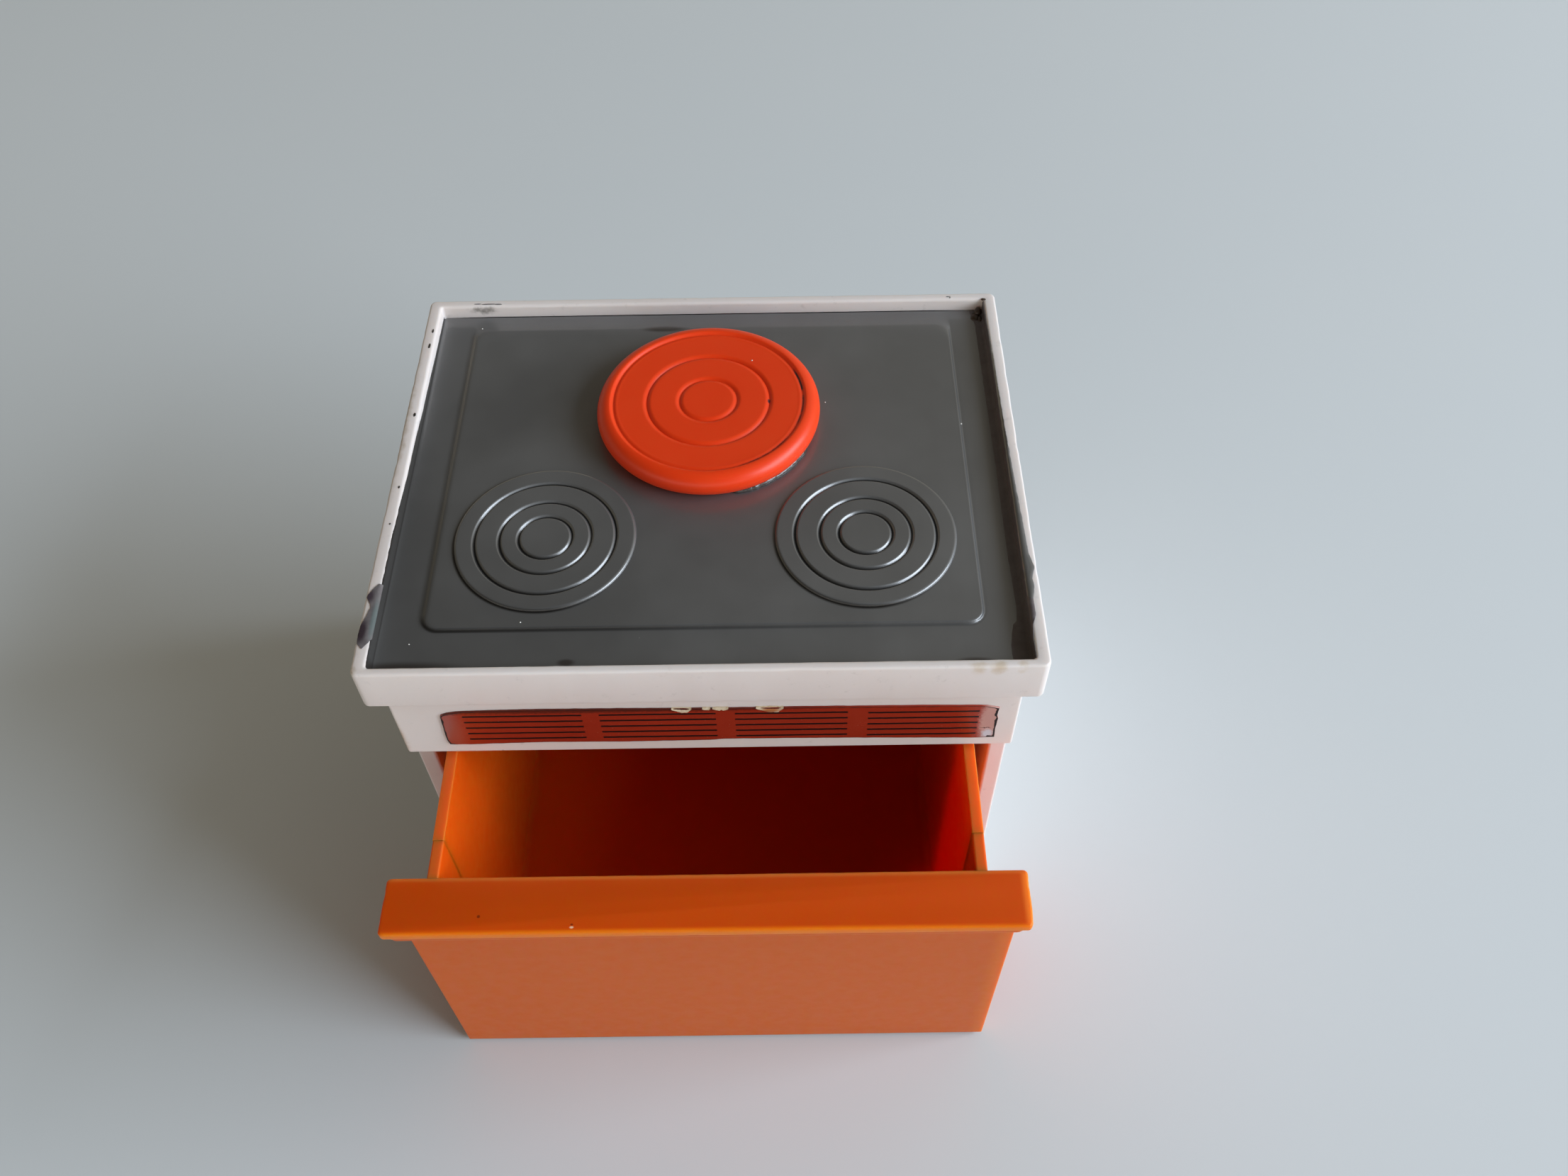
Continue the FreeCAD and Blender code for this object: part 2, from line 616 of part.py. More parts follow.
def build_drawer_pull():
    body = new_body("drawer_pull")
    strip = new_sketch(body, "pull_outline", "XY_Plane", LIP_TOP)
    rectangle(strip, -PULL_X, PULL_X, -size.pull_reach, ZERO)
    bar = pad(body, "pull_strip", strip, size.pull_thickness)
    rim = edge_names(bar.Shape, lambda edge: (
        runs_along(edge, AXIS_X) and near(edge.CenterOfMass.y, -size.pull_reach.value)))
    round_edges(body, "pull_edges", bar, rim, size.pull_edge)
    body.setExpression("Placement.Base.y", DRAWER_Y.formula)
    return body


# Tub: two orange side walls, a back and a floor, drafted for the mould. Lugs at the
# back of its rim catch behind the cabinet's front panel.

def build_drawer_tub():
    body = new_body("drawer_tub")
    section = new_sketch(body, "tub_section", "XZ_Plane", -size.cheek_length)
    tub_section(section, DRAWER_TOP)
    pad(body, "tub_sides", section, TUB_LENGTH - size.cheek_length, reverse=True)

    back = new_sketch(body, "back_outline", "XZ_Plane", size.tub_wall - TUB_LENGTH)
    outline(back, [(-outer_wall(TUB_BOTTOM), TUB_BOTTOM), (outer_wall(TUB_BOTTOM), TUB_BOTTOM),
                   (TUB_X, DRAWER_TOP), (-TUB_X, DRAWER_TOP)])
    solid = pad(body, "tub_back", back, size.tub_wall, reverse=True)
    round_floor(body, solid)

    lug = new_sketch(body, "lug_outline", "XY_Plane", DRAWER_TOP)
    rectangle(lug, TUB_X - size.tub_wall, TUB_X,
              TUB_LENGTH - size.lug_start, TUB_LENGTH - size.tub_corner)
    one = pad(body, "stop_lug", lug, size.lug_height)
    mirrored(body, "stop_lugs", [one])
    body.setExpression("Placement.Base.y", DRAWER_Y.formula)
    return body


PIECES = [
    build_cabinet_shell(),
    build_base_panel(),
    build_worktop_tray(),
    build_hob_plate(),
    build_hotplate_disc(),
    build_grille_label(),
    build_drawer_front(),
    build_drawer_pull(),
    build_drawer_tub(),
]
doc.recompute()

for item in doc.Objects:
    if "Invalid" in item.State or "Error" in item.State:
        raise RuntimeError(f"{item.Name} failed: {item.State}")
for body in PIECES:
    if body.Shape.isNull() or not body.Shape.isValid() or len(body.Shape.Solids) != 1:
        raise RuntimeError(f"{body.Label} is not one sound solid")

os.makedirs("parts", exist_ok=True)
for body in PIECES:
    body.Shape.exportStep(f"parts/{body.Label}.step")
    box = body.Shape.optimalBoundingBox(False)
    print(f"{body.Label:15s} {body.Shape.Volume:9.1f} mm3  "
          f"x {box.XMin:7.2f} {box.XMax:7.2f}  y {box.YMin:7.2f} {box.YMax:7.2f}  "
          f"z {box.ZMin:6.2f} {box.ZMax:6.2f}")
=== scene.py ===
import math
import random

import bmesh
import bpy
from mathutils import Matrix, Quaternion, Vector, noise


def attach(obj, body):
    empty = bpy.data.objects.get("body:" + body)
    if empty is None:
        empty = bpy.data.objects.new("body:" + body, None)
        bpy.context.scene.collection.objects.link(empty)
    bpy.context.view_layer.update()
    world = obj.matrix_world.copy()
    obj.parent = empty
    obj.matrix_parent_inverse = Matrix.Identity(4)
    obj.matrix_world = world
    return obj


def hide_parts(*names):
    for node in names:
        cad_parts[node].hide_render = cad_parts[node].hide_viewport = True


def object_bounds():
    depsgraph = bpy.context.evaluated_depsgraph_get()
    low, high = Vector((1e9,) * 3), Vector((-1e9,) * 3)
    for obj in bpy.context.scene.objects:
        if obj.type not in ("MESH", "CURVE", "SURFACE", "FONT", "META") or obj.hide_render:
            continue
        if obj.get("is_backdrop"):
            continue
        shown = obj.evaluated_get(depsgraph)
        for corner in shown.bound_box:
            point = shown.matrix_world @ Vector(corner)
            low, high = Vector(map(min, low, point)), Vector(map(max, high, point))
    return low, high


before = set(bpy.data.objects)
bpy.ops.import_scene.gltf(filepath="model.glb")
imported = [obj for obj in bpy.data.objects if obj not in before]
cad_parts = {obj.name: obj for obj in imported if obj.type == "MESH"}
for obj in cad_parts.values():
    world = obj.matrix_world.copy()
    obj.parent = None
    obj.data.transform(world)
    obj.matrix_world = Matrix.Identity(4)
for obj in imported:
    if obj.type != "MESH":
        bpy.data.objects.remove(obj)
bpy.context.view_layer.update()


# Cabinet shell. One white moulding of two side walls, a back and the panel above the drawer,
# in injection-moulded polystyrene. It is open at the top and below, and the other white
# pieces are glued to it.

MM = 0.001  # every size in this file is in millimetres, and Blender's are in metres

SHELL_X = 33.25
SHELL_FRONT_Y = -26.5
SHELL_BACK_Y = 26.5
SHELL_TOP_Z = 57.6
HOLLOW_X = 31.25
HOLLOW_FRONT_Y = -24.5
HOLLOW_BACK_Y = 24.5
FASCIA_BOTTOM_Z = 44.0
SHELL_ROUNDING = 0.32


def linear(code):
    """A colour written as sRGB hex, as the linear values that a shader takes."""
    levels = [int(code[i:i + 2], 16) / 255 for i in (1, 3, 5)]
    return (*[v / 12.92 if v <= 0.04045 else ((v + 0.055) / 1.055) ** 2.4 for v in levels], 1.0)


def per_mm(size):
    """The scale of a pattern on Object coordinates whose features are this many mm across."""
    return 1 / (size * MM)


def add_node(tree, kind, inputs=(), out=0, **settings):
    """Add a node with its settings, and return one of its outputs, the first if none is named.
    Its inputs are values or other nodes' outputs: in a tuple in their order, or named in a dict."""
    node = tree.nodes.new(kind)
    for name, value in settings.items():
        setattr(node, name, value)
    for key, value in (inputs.items() if isinstance(inputs, dict) else enumerate(inputs)):
        if isinstance(value, bpy.types.NodeSocket):
            tree.links.new(value, node.inputs[key])
        else:
            node.inputs[key].default_value = value
    return node.outputs[out] if node.outputs else None


def new_finish(name):
    """A new material, its empty tree, and the place on the object that its patterns follow."""
    material = bpy.data.materials.new(name)
    material.use_nodes = True
    tree = material.node_tree
    tree.nodes.clear()
    place = add_node(tree, "ShaderNodeTexCoord", out="Object")
    return material, tree, place


def lay_finish(tree, inputs):
    """The Principled shader with these inputs, joined to the material's output."""
    shader = add_node(tree, "ShaderNodeBsdfPrincipled", inputs)
    add_node(tree, "ShaderNodeOutputMaterial", {"Surface": shader})


MIX_SHARE, MIX_FIRST, MIX_SECOND, MIX_RESULT = 0, 6, 7, 2  # sockets of a Mix node for colours


def soft_tint(tree, place, colour, tint, centre, reach, softness=0.5):
    """Lay a soft-edged spot of another colour over a colour, at a place in mm."""
    offset = add_node(tree, "ShaderNodeVectorMath", (place, [c * MM for c in centre]),
        operation="SUBTRACT")
    scaled = add_node(tree, "ShaderNodeVectorMath", (offset, [per_mm(r) for r in reach]),
        operation="MULTIPLY")
    away = add_node(tree, "ShaderNodeVectorMath", (scaled,), out="Value", operation="LENGTH")
    share = add_node(tree, "ShaderNodeMapRange", {"Value": away, "From Min": 1 - softness,
        "From Max": 1 + softness, "To Min": 1.0, "To Max": 0.0}, interpolation_type="SMOOTHSTEP")
    return add_node(tree, "ShaderNodeMix", {MIX_SHARE: share, MIX_FIRST: colour,
        MIX_SECOND: linear(tint)}, out=MIX_RESULT, data_type="RGBA")


def mottled(tree, place, size, first, second, low=0.35, high=0.65):
    """A colour that drifts between two in patches of this many mm, and the drift itself."""
    drift = add_node(tree, "ShaderNodeTexNoise", {"Vector": place, "Scale": per_mm(size),
        "Detail": 3.0})
    share = add_node(tree, "ShaderNodeMapRange", {"Value": drift, "From Min": low,
        "From Max": high})
    mixed = add_node(tree, "ShaderNodeMix", {MIX_SHARE: share, MIX_FIRST: linear(first),
        MIX_SECOND: linear(second)}, out=MIX_RESULT, data_type="RGBA")
    return mixed, drift


def white_polystyrene(name, marks_and_painted_light=()):
    """Injection-moulded polystyrene, IOR 1.59: a faintly warm white with a satin skin, a
    little yellowed in places, scuffed grey where it was handled, and soft at its edges."""
    material, tree, place = new_finish(name)
    colour, ageing = mottled(tree, place, 22, "#e0d9d6", "#dcd2cd", 0.35, 0.7)
    scuffs = add_node(tree, "ShaderNodeTexNoise", {"Vector": place, "Scale": per_mm(1.3),
        "Detail": 5.0, "Roughness": 0.65})
    scuffed = add_node(tree, "ShaderNodeMapRange", {"Value": scuffs, "From Min": 0.62,
        "From Max": 0.8, "To Max": 0.4})
    colour = add_node(tree, "ShaderNodeMix", {MIX_SHARE: scuffed, MIX_FIRST: colour,
        MIX_SECOND: linear("#aaa29c")}, out=MIX_RESULT, data_type="RGBA")
    ripple = add_node(tree, "ShaderNodeTexNoise", {"Vector": place, "Scale": per_mm(0.9),
        "Detail": 4.0})
    bend = add_node(tree, "ShaderNodeVectorMath", (ripple.node.outputs["Color"],
        (0.0009, 0.0009, 0.0009), place), operation="MULTIPLY_ADD")
    for tint, centre, reach, softness in marks_and_painted_light:
        colour = soft_tint(tree, bend, colour, tint, centre, reach, softness)
    gloss = add_node(tree, "ShaderNodeMapRange", {"Value": ageing, "From Min": 0.3, "From Max": 0.7,
        "To Min": 0.42, "To Max": 0.54})
    skin = add_node(tree, "ShaderNodeBump", {"Height": ripple, "Strength": 0.25,
        "Distance": 0.00006})
    lay_finish(tree, {"Base Color": colour, "Roughness": gloss, "IOR": 1.55, "Normal": skin,
                      "Specular IOR Level": 0.35, "Subsurface Weight": 0.25,
                      "Subsurface Radius": (1.0, 0.8, 0.65), "Subsurface Scale": 0.0012})
    return material


def solid(name, points, faces, material, sharp=30.0):
    """A closed mesh piece from points in mm, its faces outwards, smooth but for sharp edges."""
    mesh = bpy.data.meshes.new(name)
    mesh.from_pydata([[c * MM for c in point] for point in points], [], faces)
    mesh.materials.append(material)
    piece = bpy.data.objects.new(name, mesh)
    bpy.context.collection.objects.link(piece)
    tidy_faces(mesh, sharp)
    return piece


def tidy_faces(mesh, sharp):
    """Merge points that meet, turn every face outwards and shade the mesh smooth."""
    work = bmesh.new()
    work.from_mesh(mesh)
    bmesh.ops.remove_doubles(work, verts=work.verts, dist=0.0005 * MM)
    bmesh.ops.recalc_face_normals(work, faces=work.faces)
    work.to_mesh(mesh)
    work.free()
    mesh.shade_smooth()
    mesh.set_sharp_from_angle(angle=math.radians(sharp))


def round_over(piece, width, segments=3, angle=30.0, flush_y=None):
    """Round a piece's edges as the mould does, but not in a plane where it meets another."""
    work = bmesh.new()
    work.from_mesh(piece.data)
    rounding = work.edges.layers.float.new("bevel_weight_edge")
    for edge in work.edges:
        meets = flush_y is not None and all(abs(v.co.y - flush_y * MM) < 1e-6 for v in edge.verts)
        sharp = edge.calc_face_angle(0.0) > math.radians(angle)
        edge[rounding] = 1.0 if sharp and not meets else 0.0
    work.to_mesh(piece.data)
    work.free()
    bevel = piece.modifiers.new("moulded_edges", "BEVEL")
    bevel.width = width * MM
    bevel.segments = segments
    bevel.limit_method = "WEIGHT"
    bevel.harden_normals = True
    bevel.miter_outer = "MITER_ARC"
    return piece


def on_body(piece, body, slot, *nodes):
    """Fix a finished piece to its CAD body and hide the CAD nodes that it replaces; the slot is not
    used.
    """
    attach(piece, body)
    if nodes:
        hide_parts(*nodes)
    return piece


shell_plastic = white_polystyrene("polystyrene_white_cabinet", [
    ("#2e2622", (-22.33, SHELL_FRONT_Y, 44.78), (0.22, 0.5, 0.14), 0.3),
    ("#b9a58f", (27.0, SHELL_FRONT_Y, 44.3), (1.6, 0.6, 0.35), 0.8),
    ("#c3ab98", (-33.0, -25.5, 47.0), (0.5, 2.0, 3.0), 0.9),
])

outer = [(-SHELL_X, SHELL_FRONT_Y), (SHELL_X, SHELL_FRONT_Y),
         (SHELL_X, SHELL_BACK_Y), (-SHELL_X, SHELL_BACK_Y)]
inner = [(-HOLLOW_X, HOLLOW_FRONT_Y), (HOLLOW_X, HOLLOW_FRONT_Y),
         (HOLLOW_X, HOLLOW_BACK_Y), (-HOLLOW_X, HOLLOW_BACK_Y)]
cheek_front = [(-SHELL_X, HOLLOW_FRONT_Y), (SHELL_X, HOLLOW_FRONT_Y)]
shell_points = [(x, y, SHELL_TOP_Z) for x, y in outer + inner]
shell_points += [(x, y, FASCIA_BOTTOM_Z) for x, y in outer[:2] + cheek_front + inner[:2]]
shell_points += [(x, y, 0.0) for x, y in cheek_front + outer[2:] + inner]
shell_faces = [
    (0, 4, 5, 1), (1, 5, 6, 2), (2, 6, 7, 3), (3, 7, 4, 0),          # top of the walls
    (8, 9, 1, 0), (8, 10, 12, 13, 11, 9), (13, 12, 4, 5),            # front panel
    (14, 10, 8, 0, 3, 17), (15, 16, 2, 1, 9, 11), (16, 17, 3, 2),    # outside
    (14, 18, 12, 10), (19, 15, 11, 13),                              # side walls' front edges
    (18, 21, 7, 4, 12), (20, 19, 13, 5, 6), (21, 20, 6, 7),          # inside
    (14, 17, 21, 18), (16, 15, 19, 20), (17, 16, 20, 21),            # underside
]
shell = solid("cabinet_shell_moulding", shell_points, shell_faces, shell_plastic)
round_over(shell, SHELL_ROUNDING)
on_body(shell, "cabinet", "white_plastic", "cabinet_shell")


# Ribs of the cabinet shell. Three upright guide ribs on each side wall keep the drawer
# straight, and two on the back wall stop it; all are moulded in one with the shell.

RIB_WIDTH, RIB_ROUNDING = 1.2, 0.25
RIB_FOOT_Z, RIB_TOP_Z = 1.5, 50.0
RIB_TIP_X, RIB_ROOT_X = 29.55, 32.25
RIB_FIRST_Y, RIB_PITCH_Y = -15.9, 17.5
BUFFER_X, BUFFER_TIP_Y, BUFFER_ROOT_Y = 16.0, 23.7, 25.5


def new_growth(name, sizes):
    """A Geometry Nodes tree with a named input for each size, and those inputs by name."""
    tree = bpy.data.node_groups.new(name, "GeometryNodeTree")
    tree.interface.new_socket("Geometry", in_out="INPUT", socket_type="NodeSocketGeometry")
    for label in sizes:
        whole = label.startswith(("Count", "Steps", "Seed"))
        tree.interface.new_socket(
            label, in_out="INPUT", socket_type="NodeSocketInt" if whole else "NodeSocketFloat")
    tree.interface.new_socket("Geometry", in_out="OUTPUT", socket_type="NodeSocketGeometry")
    given = add_node(tree, "NodeGroupInput").node.outputs
    return tree, {label: given[label] for label in sizes}


def end_growth(tree, geometry, material):
    """Every tree ends in real mesh with its material on it."""
    real = add_node(tree, "GeometryNodeRealizeInstances", {"Geometry": geometry})
    dressed = add_node(tree, "GeometryNodeSetMaterial", {"Geometry": real, "Material": material})
    add_node(tree, "NodeGroupOutput", {"Geometry": dressed})


def grow(name, tree, sizes, sharp=30.0):
    """Run a tree with these sizes, in mm unless whole or an angle, and keep a plain mesh."""
    host = bpy.data.objects.new(name, bpy.data.meshes.new(name))
    bpy.context.collection.objects.link(host)
    modifier = host.modifiers.new("growth", "NODES")
    modifier.node_group = tree
    for item in tree.interface.items_tree:
        if item.in_out == "INPUT" and item.name in sizes:
            modifier[item.identifier] = sizes[item.name]
    bpy.context.view_layer.update()
    shaped = host.evaluated_get(bpy.context.evaluated_depsgraph_get())
    host.data = bpy.data.meshes.new_from_object(shaped)
    host.data.name = name
    host.modifiers.remove(modifier)
    tidy_faces(host.data, sharp)
    return host


def bar_tree(name, material):
    """Rows of straight bars: groups across, and in each group bars that follow one another."""
    tree, size = new_growth(name, (
        "Count of groups", "Group pitch", "Count of bars", "Bar pitch back", "Bar pitch up",
        "Width", "Depth", "Height", "First X", "First Y", "First Z",
        "Steps along", "Unevenness", "Seed"))
    start = add_node(tree, "ShaderNodeCombineXYZ", {"X": size["First X"], "Y": size["First Y"],
        "Z": size["First Z"]})
    across = add_node(tree, "ShaderNodeCombineXYZ", {"X": size["Group pitch"]})
    groups = add_node(tree, "GeometryNodeMeshLine", {"Count": size["Count of groups"],
        "Start Location": start, "Offset": across})
    onward = add_node(tree, "ShaderNodeCombineXYZ", {"Y": size["Bar pitch back"],
        "Z": size["Bar pitch up"]})
    column = add_node(tree, "GeometryNodeMeshLine", {"Count": size["Count of bars"],
        "Offset": onward})
    places = add_node(tree, "GeometryNodeInstanceOnPoints", {"Points": groups, "Instance": column})
    places = add_node(tree, "GeometryNodeRealizeInstances", {"Geometry": places})
    block_size = add_node(tree, "ShaderNodeCombineXYZ", {"X": size["Width"], "Y": size["Depth"],
        "Z": size["Height"]})
    block = add_node(tree, "GeometryNodeMeshCube", {"Size": block_size,
        "Vertices X": size["Steps along"]})
    bars = add_node(tree, "GeometryNodeInstanceOnPoints", {"Points": places, "Instance": block})
    bars = add_node(tree, "GeometryNodeRealizeInstances", {"Geometry": bars})
    # Noise moves each point a little across and up, from another place for each seed.
    seed = add_node(tree, "ShaderNodeMath", (size["Seed"], 0.013), operation="MULTIPLY")
    shift = add_node(tree, "ShaderNodeVectorMath", (add_node(tree, "GeometryNodeInputPosition"),
        seed), operation="ADD")
    wobble = add_node(tree, "ShaderNodeTexNoise", {"Vector": shift, "Scale": per_mm(1.1),
        "Detail": 3.0}, out="Color")
    wobble = add_node(tree, "ShaderNodeVectorMath", (wobble, (0.5, 0.5, 0.5)), operation="SUBTRACT")
    wobble = add_node(tree, "ShaderNodeVectorMath", {0: wobble, "Scale": size["Unevenness"]},
        operation="SCALE")
    wobble = add_node(tree, "ShaderNodeVectorMath", (wobble, (1.0, 0.0, 1.0)), operation="MULTIPLY")
    moved = add_node(tree, "GeometryNodeSetPosition", {"Geometry": bars, "Offset": wobble})
    end_growth(tree, moved, material)
    return tree


rib_tree = bar_tree("rib_rows", shell_plastic)
guide_ribs = grow("guide_ribs", rib_tree, {
    "Count of groups": 2, "Group pitch": (RIB_TIP_X + RIB_ROOT_X) * MM,
    "Count of bars": 3, "Bar pitch back": RIB_PITCH_Y * MM, "Bar pitch up": 0.0,
    "Width": (RIB_ROOT_X - RIB_TIP_X) * MM, "Depth": RIB_WIDTH * MM,
    "Height": (RIB_TOP_Z - RIB_FOOT_Z) * MM,
    "First X": -(RIB_TIP_X + RIB_ROOT_X) / 2 * MM, "First Y": RIB_FIRST_Y * MM,
    "First Z": (RIB_TOP_Z + RIB_FOOT_Z) / 2 * MM, "Steps along": 2, "Unevenness": 0.0, "Seed": 1})
on_body(round_over(guide_ribs, RIB_ROUNDING), "cabinet", "white_plastic")

buffer_ribs = grow("buffer_ribs", rib_tree, {
    "Count of groups": 2, "Group pitch": 2 * BUFFER_X * MM,
    "Count of bars": 1, "Bar pitch back": 0.0, "Bar pitch up": 0.0,
    "Width": RIB_WIDTH * MM, "Depth": (BUFFER_ROOT_Y - BUFFER_TIP_Y) * MM,
    "Height": (RIB_TOP_Z - RIB_FOOT_Z) * MM,
    "First X": -BUFFER_X * MM, "First Y": (BUFFER_TIP_Y + BUFFER_ROOT_Y) / 2 * MM,
    "First Z": (RIB_TOP_Z + RIB_FOOT_Z) / 2 * MM, "Steps along": 2, "Unevenness": 0.0, "Seed": 1})
on_body(round_over(buffer_ribs, RIB_ROUNDING), "cabinet", "white_plastic")


# Base panel. A flat white plate glued in between the walls, with two low runners that the
# drawer slides on. It is the same polystyrene, and its edges are rounded by the mould.

BASE_ROUNDING = 0.2


def clean_mesh(mesh, flat_degrees, material):
    """Merge doubled points, and faces that lie flat, and give the mesh its only material."""
    work = bmesh.new()
    work.from_mesh(mesh)
    bmesh.ops.remove_doubles(work, verts=work.verts, dist=0.001 * MM)
    bmesh.ops.dissolve_limit(work, angle_limit=math.radians(flat_degrees),
                             verts=work.verts, edges=work.edges)
    bmesh.ops.recalc_face_normals(work, faces=work.faces)
    work.to_mesh(mesh)
    work.free()
    mesh.materials.clear()
    mesh.materials.append(material)
    mesh.shade_smooth()


base_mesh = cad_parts["base_panel"].data.copy()
base = bpy.data.objects.new("base_plate", base_mesh)
bpy.context.collection.objects.link(base)
clean_mesh(base_mesh, 1.0, shell_plastic)
on_body(round_over(base, BASE_ROUNDING), "cabinet", "white_plastic", "base_panel")


# Worktop tray. A white lid with a raised rim round the hob, glued over the cabinet; its band
# hangs past the walls and a ring below centres it. Polystyrene, worn at its rim.

TRAY_X, TRAY_Y = 35.0, 28.0
TRAY_CORNER, RECESS_CORNER = 0.8, 0.3
BAND_BOTTOM_Z, RIM_TOP_Z = 55.7, 61.5
TRAY_EDGE = 0.3
RECESS_X, RECESS_FRONT_Y, RECESS_BACK_Y = 33.5, -27.0, 26.8
RECESS_FLOOR_Z = 58.8
RIM_INNER_EDGE = 0.35
LOCATOR_X, LOCATOR_Y, LOCATOR_WALL, LOCATOR_END_Z = 31.1, 24.35, 1.2, 55.6
SEAT_GAP, SEAT_CORNER, FLARED_CORNER = 0.15, 0.3, 0.4
HIDDEN_CHAMFER = 0.2
BAND_WEAR, RIM_WEAR, INNER_WEAR, FOOT_WEAR = 0.12, 0.10, 0.06, 0.03
WEAR_END_Z = 60.2
SIDE_STEPS, CORNER_STEPS = 60, 6


def waver(a, b, pattern):
    """Smooth noise about zero at a place, as an uneven edge has; the last number picks one."""
    return noise.noise(Vector((a, b, pattern)))


def loop_round(left, right, front, back, corner, height, wear=0.0, seed=0.0):
    """Points of a rounded rectangle, counter-clockwise from above; wear eats into it unevenly."""
    centres = [(right - corner, front + corner), (right - corner, back - corner),
               (left + corner, back - corner), (left + corner, front + corner)]
    arcs = []
    for number, (x, y) in enumerate(centres):
        turns = [math.radians(90 * (number - 1 + i / CORNER_STEPS)) for i in range(CORNER_STEPS + 1)]
        arcs.append([(x + corner * math.cos(t), y + corner * math.sin(t)) for t in turns])
    points = []
    for number, arc in enumerate(arcs):
        points += arc
        (x0, y0), (x1, y1) = arc[-1], arcs[(number + 1) % 4][0]
        points += [(x0 + (x1 - x0) * i / SIDE_STEPS, y0 + (y1 - y0) * i / SIDE_STEPS)
                   for i in range(1, SIDE_STEPS)]
    middle = Vector(((left + right) / 2, (front + back) / 2, 0))
    worn = []
    for x, y in points:
        bite = wear * max(0.0, waver(x / 1.7, y / 1.7, seed)
                          + 0.6 * waver(x / 0.6, y / 0.6, seed + 9))
        inwards = (middle - Vector((x, y, 0))).normalized()
        worn.append((x + inwards.x * bite, y + inwards.y * bite, height))
    return worn


def side_faces(count, bands):
    """The faces of a number of bands, each between two rings of this many points."""
    return [(low + i, low + (i + 1) % count, low + count + (i + 1) % count, low + count + i)
            for low in range(0, bands * count, count) for i in range(count)]


def loft(loops):
    """Points and faces of a solid that follows its loops from the first to the last."""
    count, bands = len(loops[0]), len(loops) - 1
    last = bands * count
    faces = [tuple(reversed(range(count))), tuple(range(last, last + count))]
    return [point for loop in loops for point in loop], faces + side_faces(count, bands)


def quarter(radius, steps=4):
    """How far a rounded edge has come in, and risen, at each step round a quarter circle."""
    turns = [math.radians(90 * i / steps) for i in range(steps + 1)]
    return [(radius * (1 - math.sin(t)), radius * (1 - math.cos(t))) for t in turns]


tray_plastic = white_polystyrene("polystyrene_white_tray", [
    ("#d2c5b7", (28.3, -27.25, RIM_TOP_Z), (0.95, 0.36, 0.9), 0.6),
    ("#cebfae", (30.2, -27.25, RIM_TOP_Z), (0.75, 0.42, 0.9), 0.6),
    ("#d3c6b8", (32.6, -27.2, RIM_TOP_Z), (0.5, 0.32, 0.9), 0.6),
    ("#8c7863", (-34.6, -28.0, 55.95), (0.5, 0.5, 0.45), 0.6),
    ("#b39f88", (-29.0, -28.0, 55.85), (0.5, 0.5, 0.3), 0.8),
    ("#8b8681", (-27.9, 26.95, RIM_TOP_Z), (1.7, 0.3, 0.8), 0.6),
    ("#b9aa98", (-34.2, -26.8, RIM_TOP_Z), (0.3, 0.5, 0.6), 0.7),
    ("#b7a999", (-34.3, 8.0, RIM_TOP_Z), (0.35, 9.0, 0.5), 0.9),
])


def tray_loop(grow_by, height, wear=0.0, seed=0.0):
    """The tray's outline, moved outwards by an amount."""
    return loop_round(-TRAY_X - grow_by, TRAY_X + grow_by, -TRAY_Y - grow_by, TRAY_Y + grow_by,
                      TRAY_CORNER + grow_by, height, wear, seed)


def recess_loop(grow_by, height, wear=0.0, seed=0.0):
    """The recess's outline, moved outwards by an amount."""
    return loop_round(-RECESS_X - grow_by, RECESS_X + grow_by, RECESS_FRONT_Y - grow_by,
                      RECESS_BACK_Y + grow_by, RECESS_CORNER + grow_by, height, wear, seed)


def locator_loop(shrink, height):
    """The locating ring's outline, moved inwards by an amount."""
    return loop_round(shrink - LOCATOR_X, LOCATOR_X - shrink, shrink - LOCATOR_Y,
                      LOCATOR_Y - shrink, SEAT_CORNER, height)


tray_loops = [locator_loop(shrink, z) for shrink, z in (
    (LOCATOR_WALL, SHELL_TOP_Z), (LOCATOR_WALL, LOCATOR_END_Z + HIDDEN_CHAMFER),
    (LOCATOR_WALL - HIDDEN_CHAMFER, LOCATOR_END_Z), (HIDDEN_CHAMFER, LOCATOR_END_Z),
    (0.0, LOCATOR_END_Z + HIDDEN_CHAMFER), (0.0, SHELL_TOP_Z))]
inside_x, inside_y = SHELL_X + SEAT_GAP, SHELL_BACK_Y + SEAT_GAP
tray_loops += [loop_round(-inside_x, inside_x, -inside_y, inside_y, SEAT_CORNER, z)
               for z in (SHELL_TOP_Z, BAND_BOTTOM_Z + HIDDEN_CHAMFER)]
tray_loops.append(loop_round(-inside_x - HIDDEN_CHAMFER, inside_x + HIDDEN_CHAMFER,
                             -inside_y - HIDDEN_CHAMFER, inside_y + HIDDEN_CHAMFER,
                             FLARED_CORNER, BAND_BOTTOM_Z))
for inset, rise in quarter(TRAY_EDGE):
    tray_loops.append(tray_loop(-inset, BAND_BOTTOM_Z + rise, BAND_WEAR, 1.0))
for inset, rise in reversed(quarter(TRAY_EDGE)):
    tray_loops.append(tray_loop(-inset, RIM_TOP_Z - rise, RIM_WEAR, 2.0))
for inset, rise in quarter(RIM_INNER_EDGE):
    tray_loops.append(recess_loop(inset, RIM_TOP_Z - rise, INNER_WEAR, 3.0))
tray_loops += [recess_loop(0.0, WEAR_END_Z, FOOT_WEAR, 3.0), recess_loop(0.0, RECESS_FLOOR_Z)]
tray = solid("worktop_tray_moulding", *loft(tray_loops), tray_plastic, sharp=40)
on_body(tray, "cabinet", "tray_plastic", "worktop_tray")


# Hob plate. A thin grey sheet in the tray with a raised field, its edges softened by the
# thick coat of grey paint that also creeps a little up the rim round it.

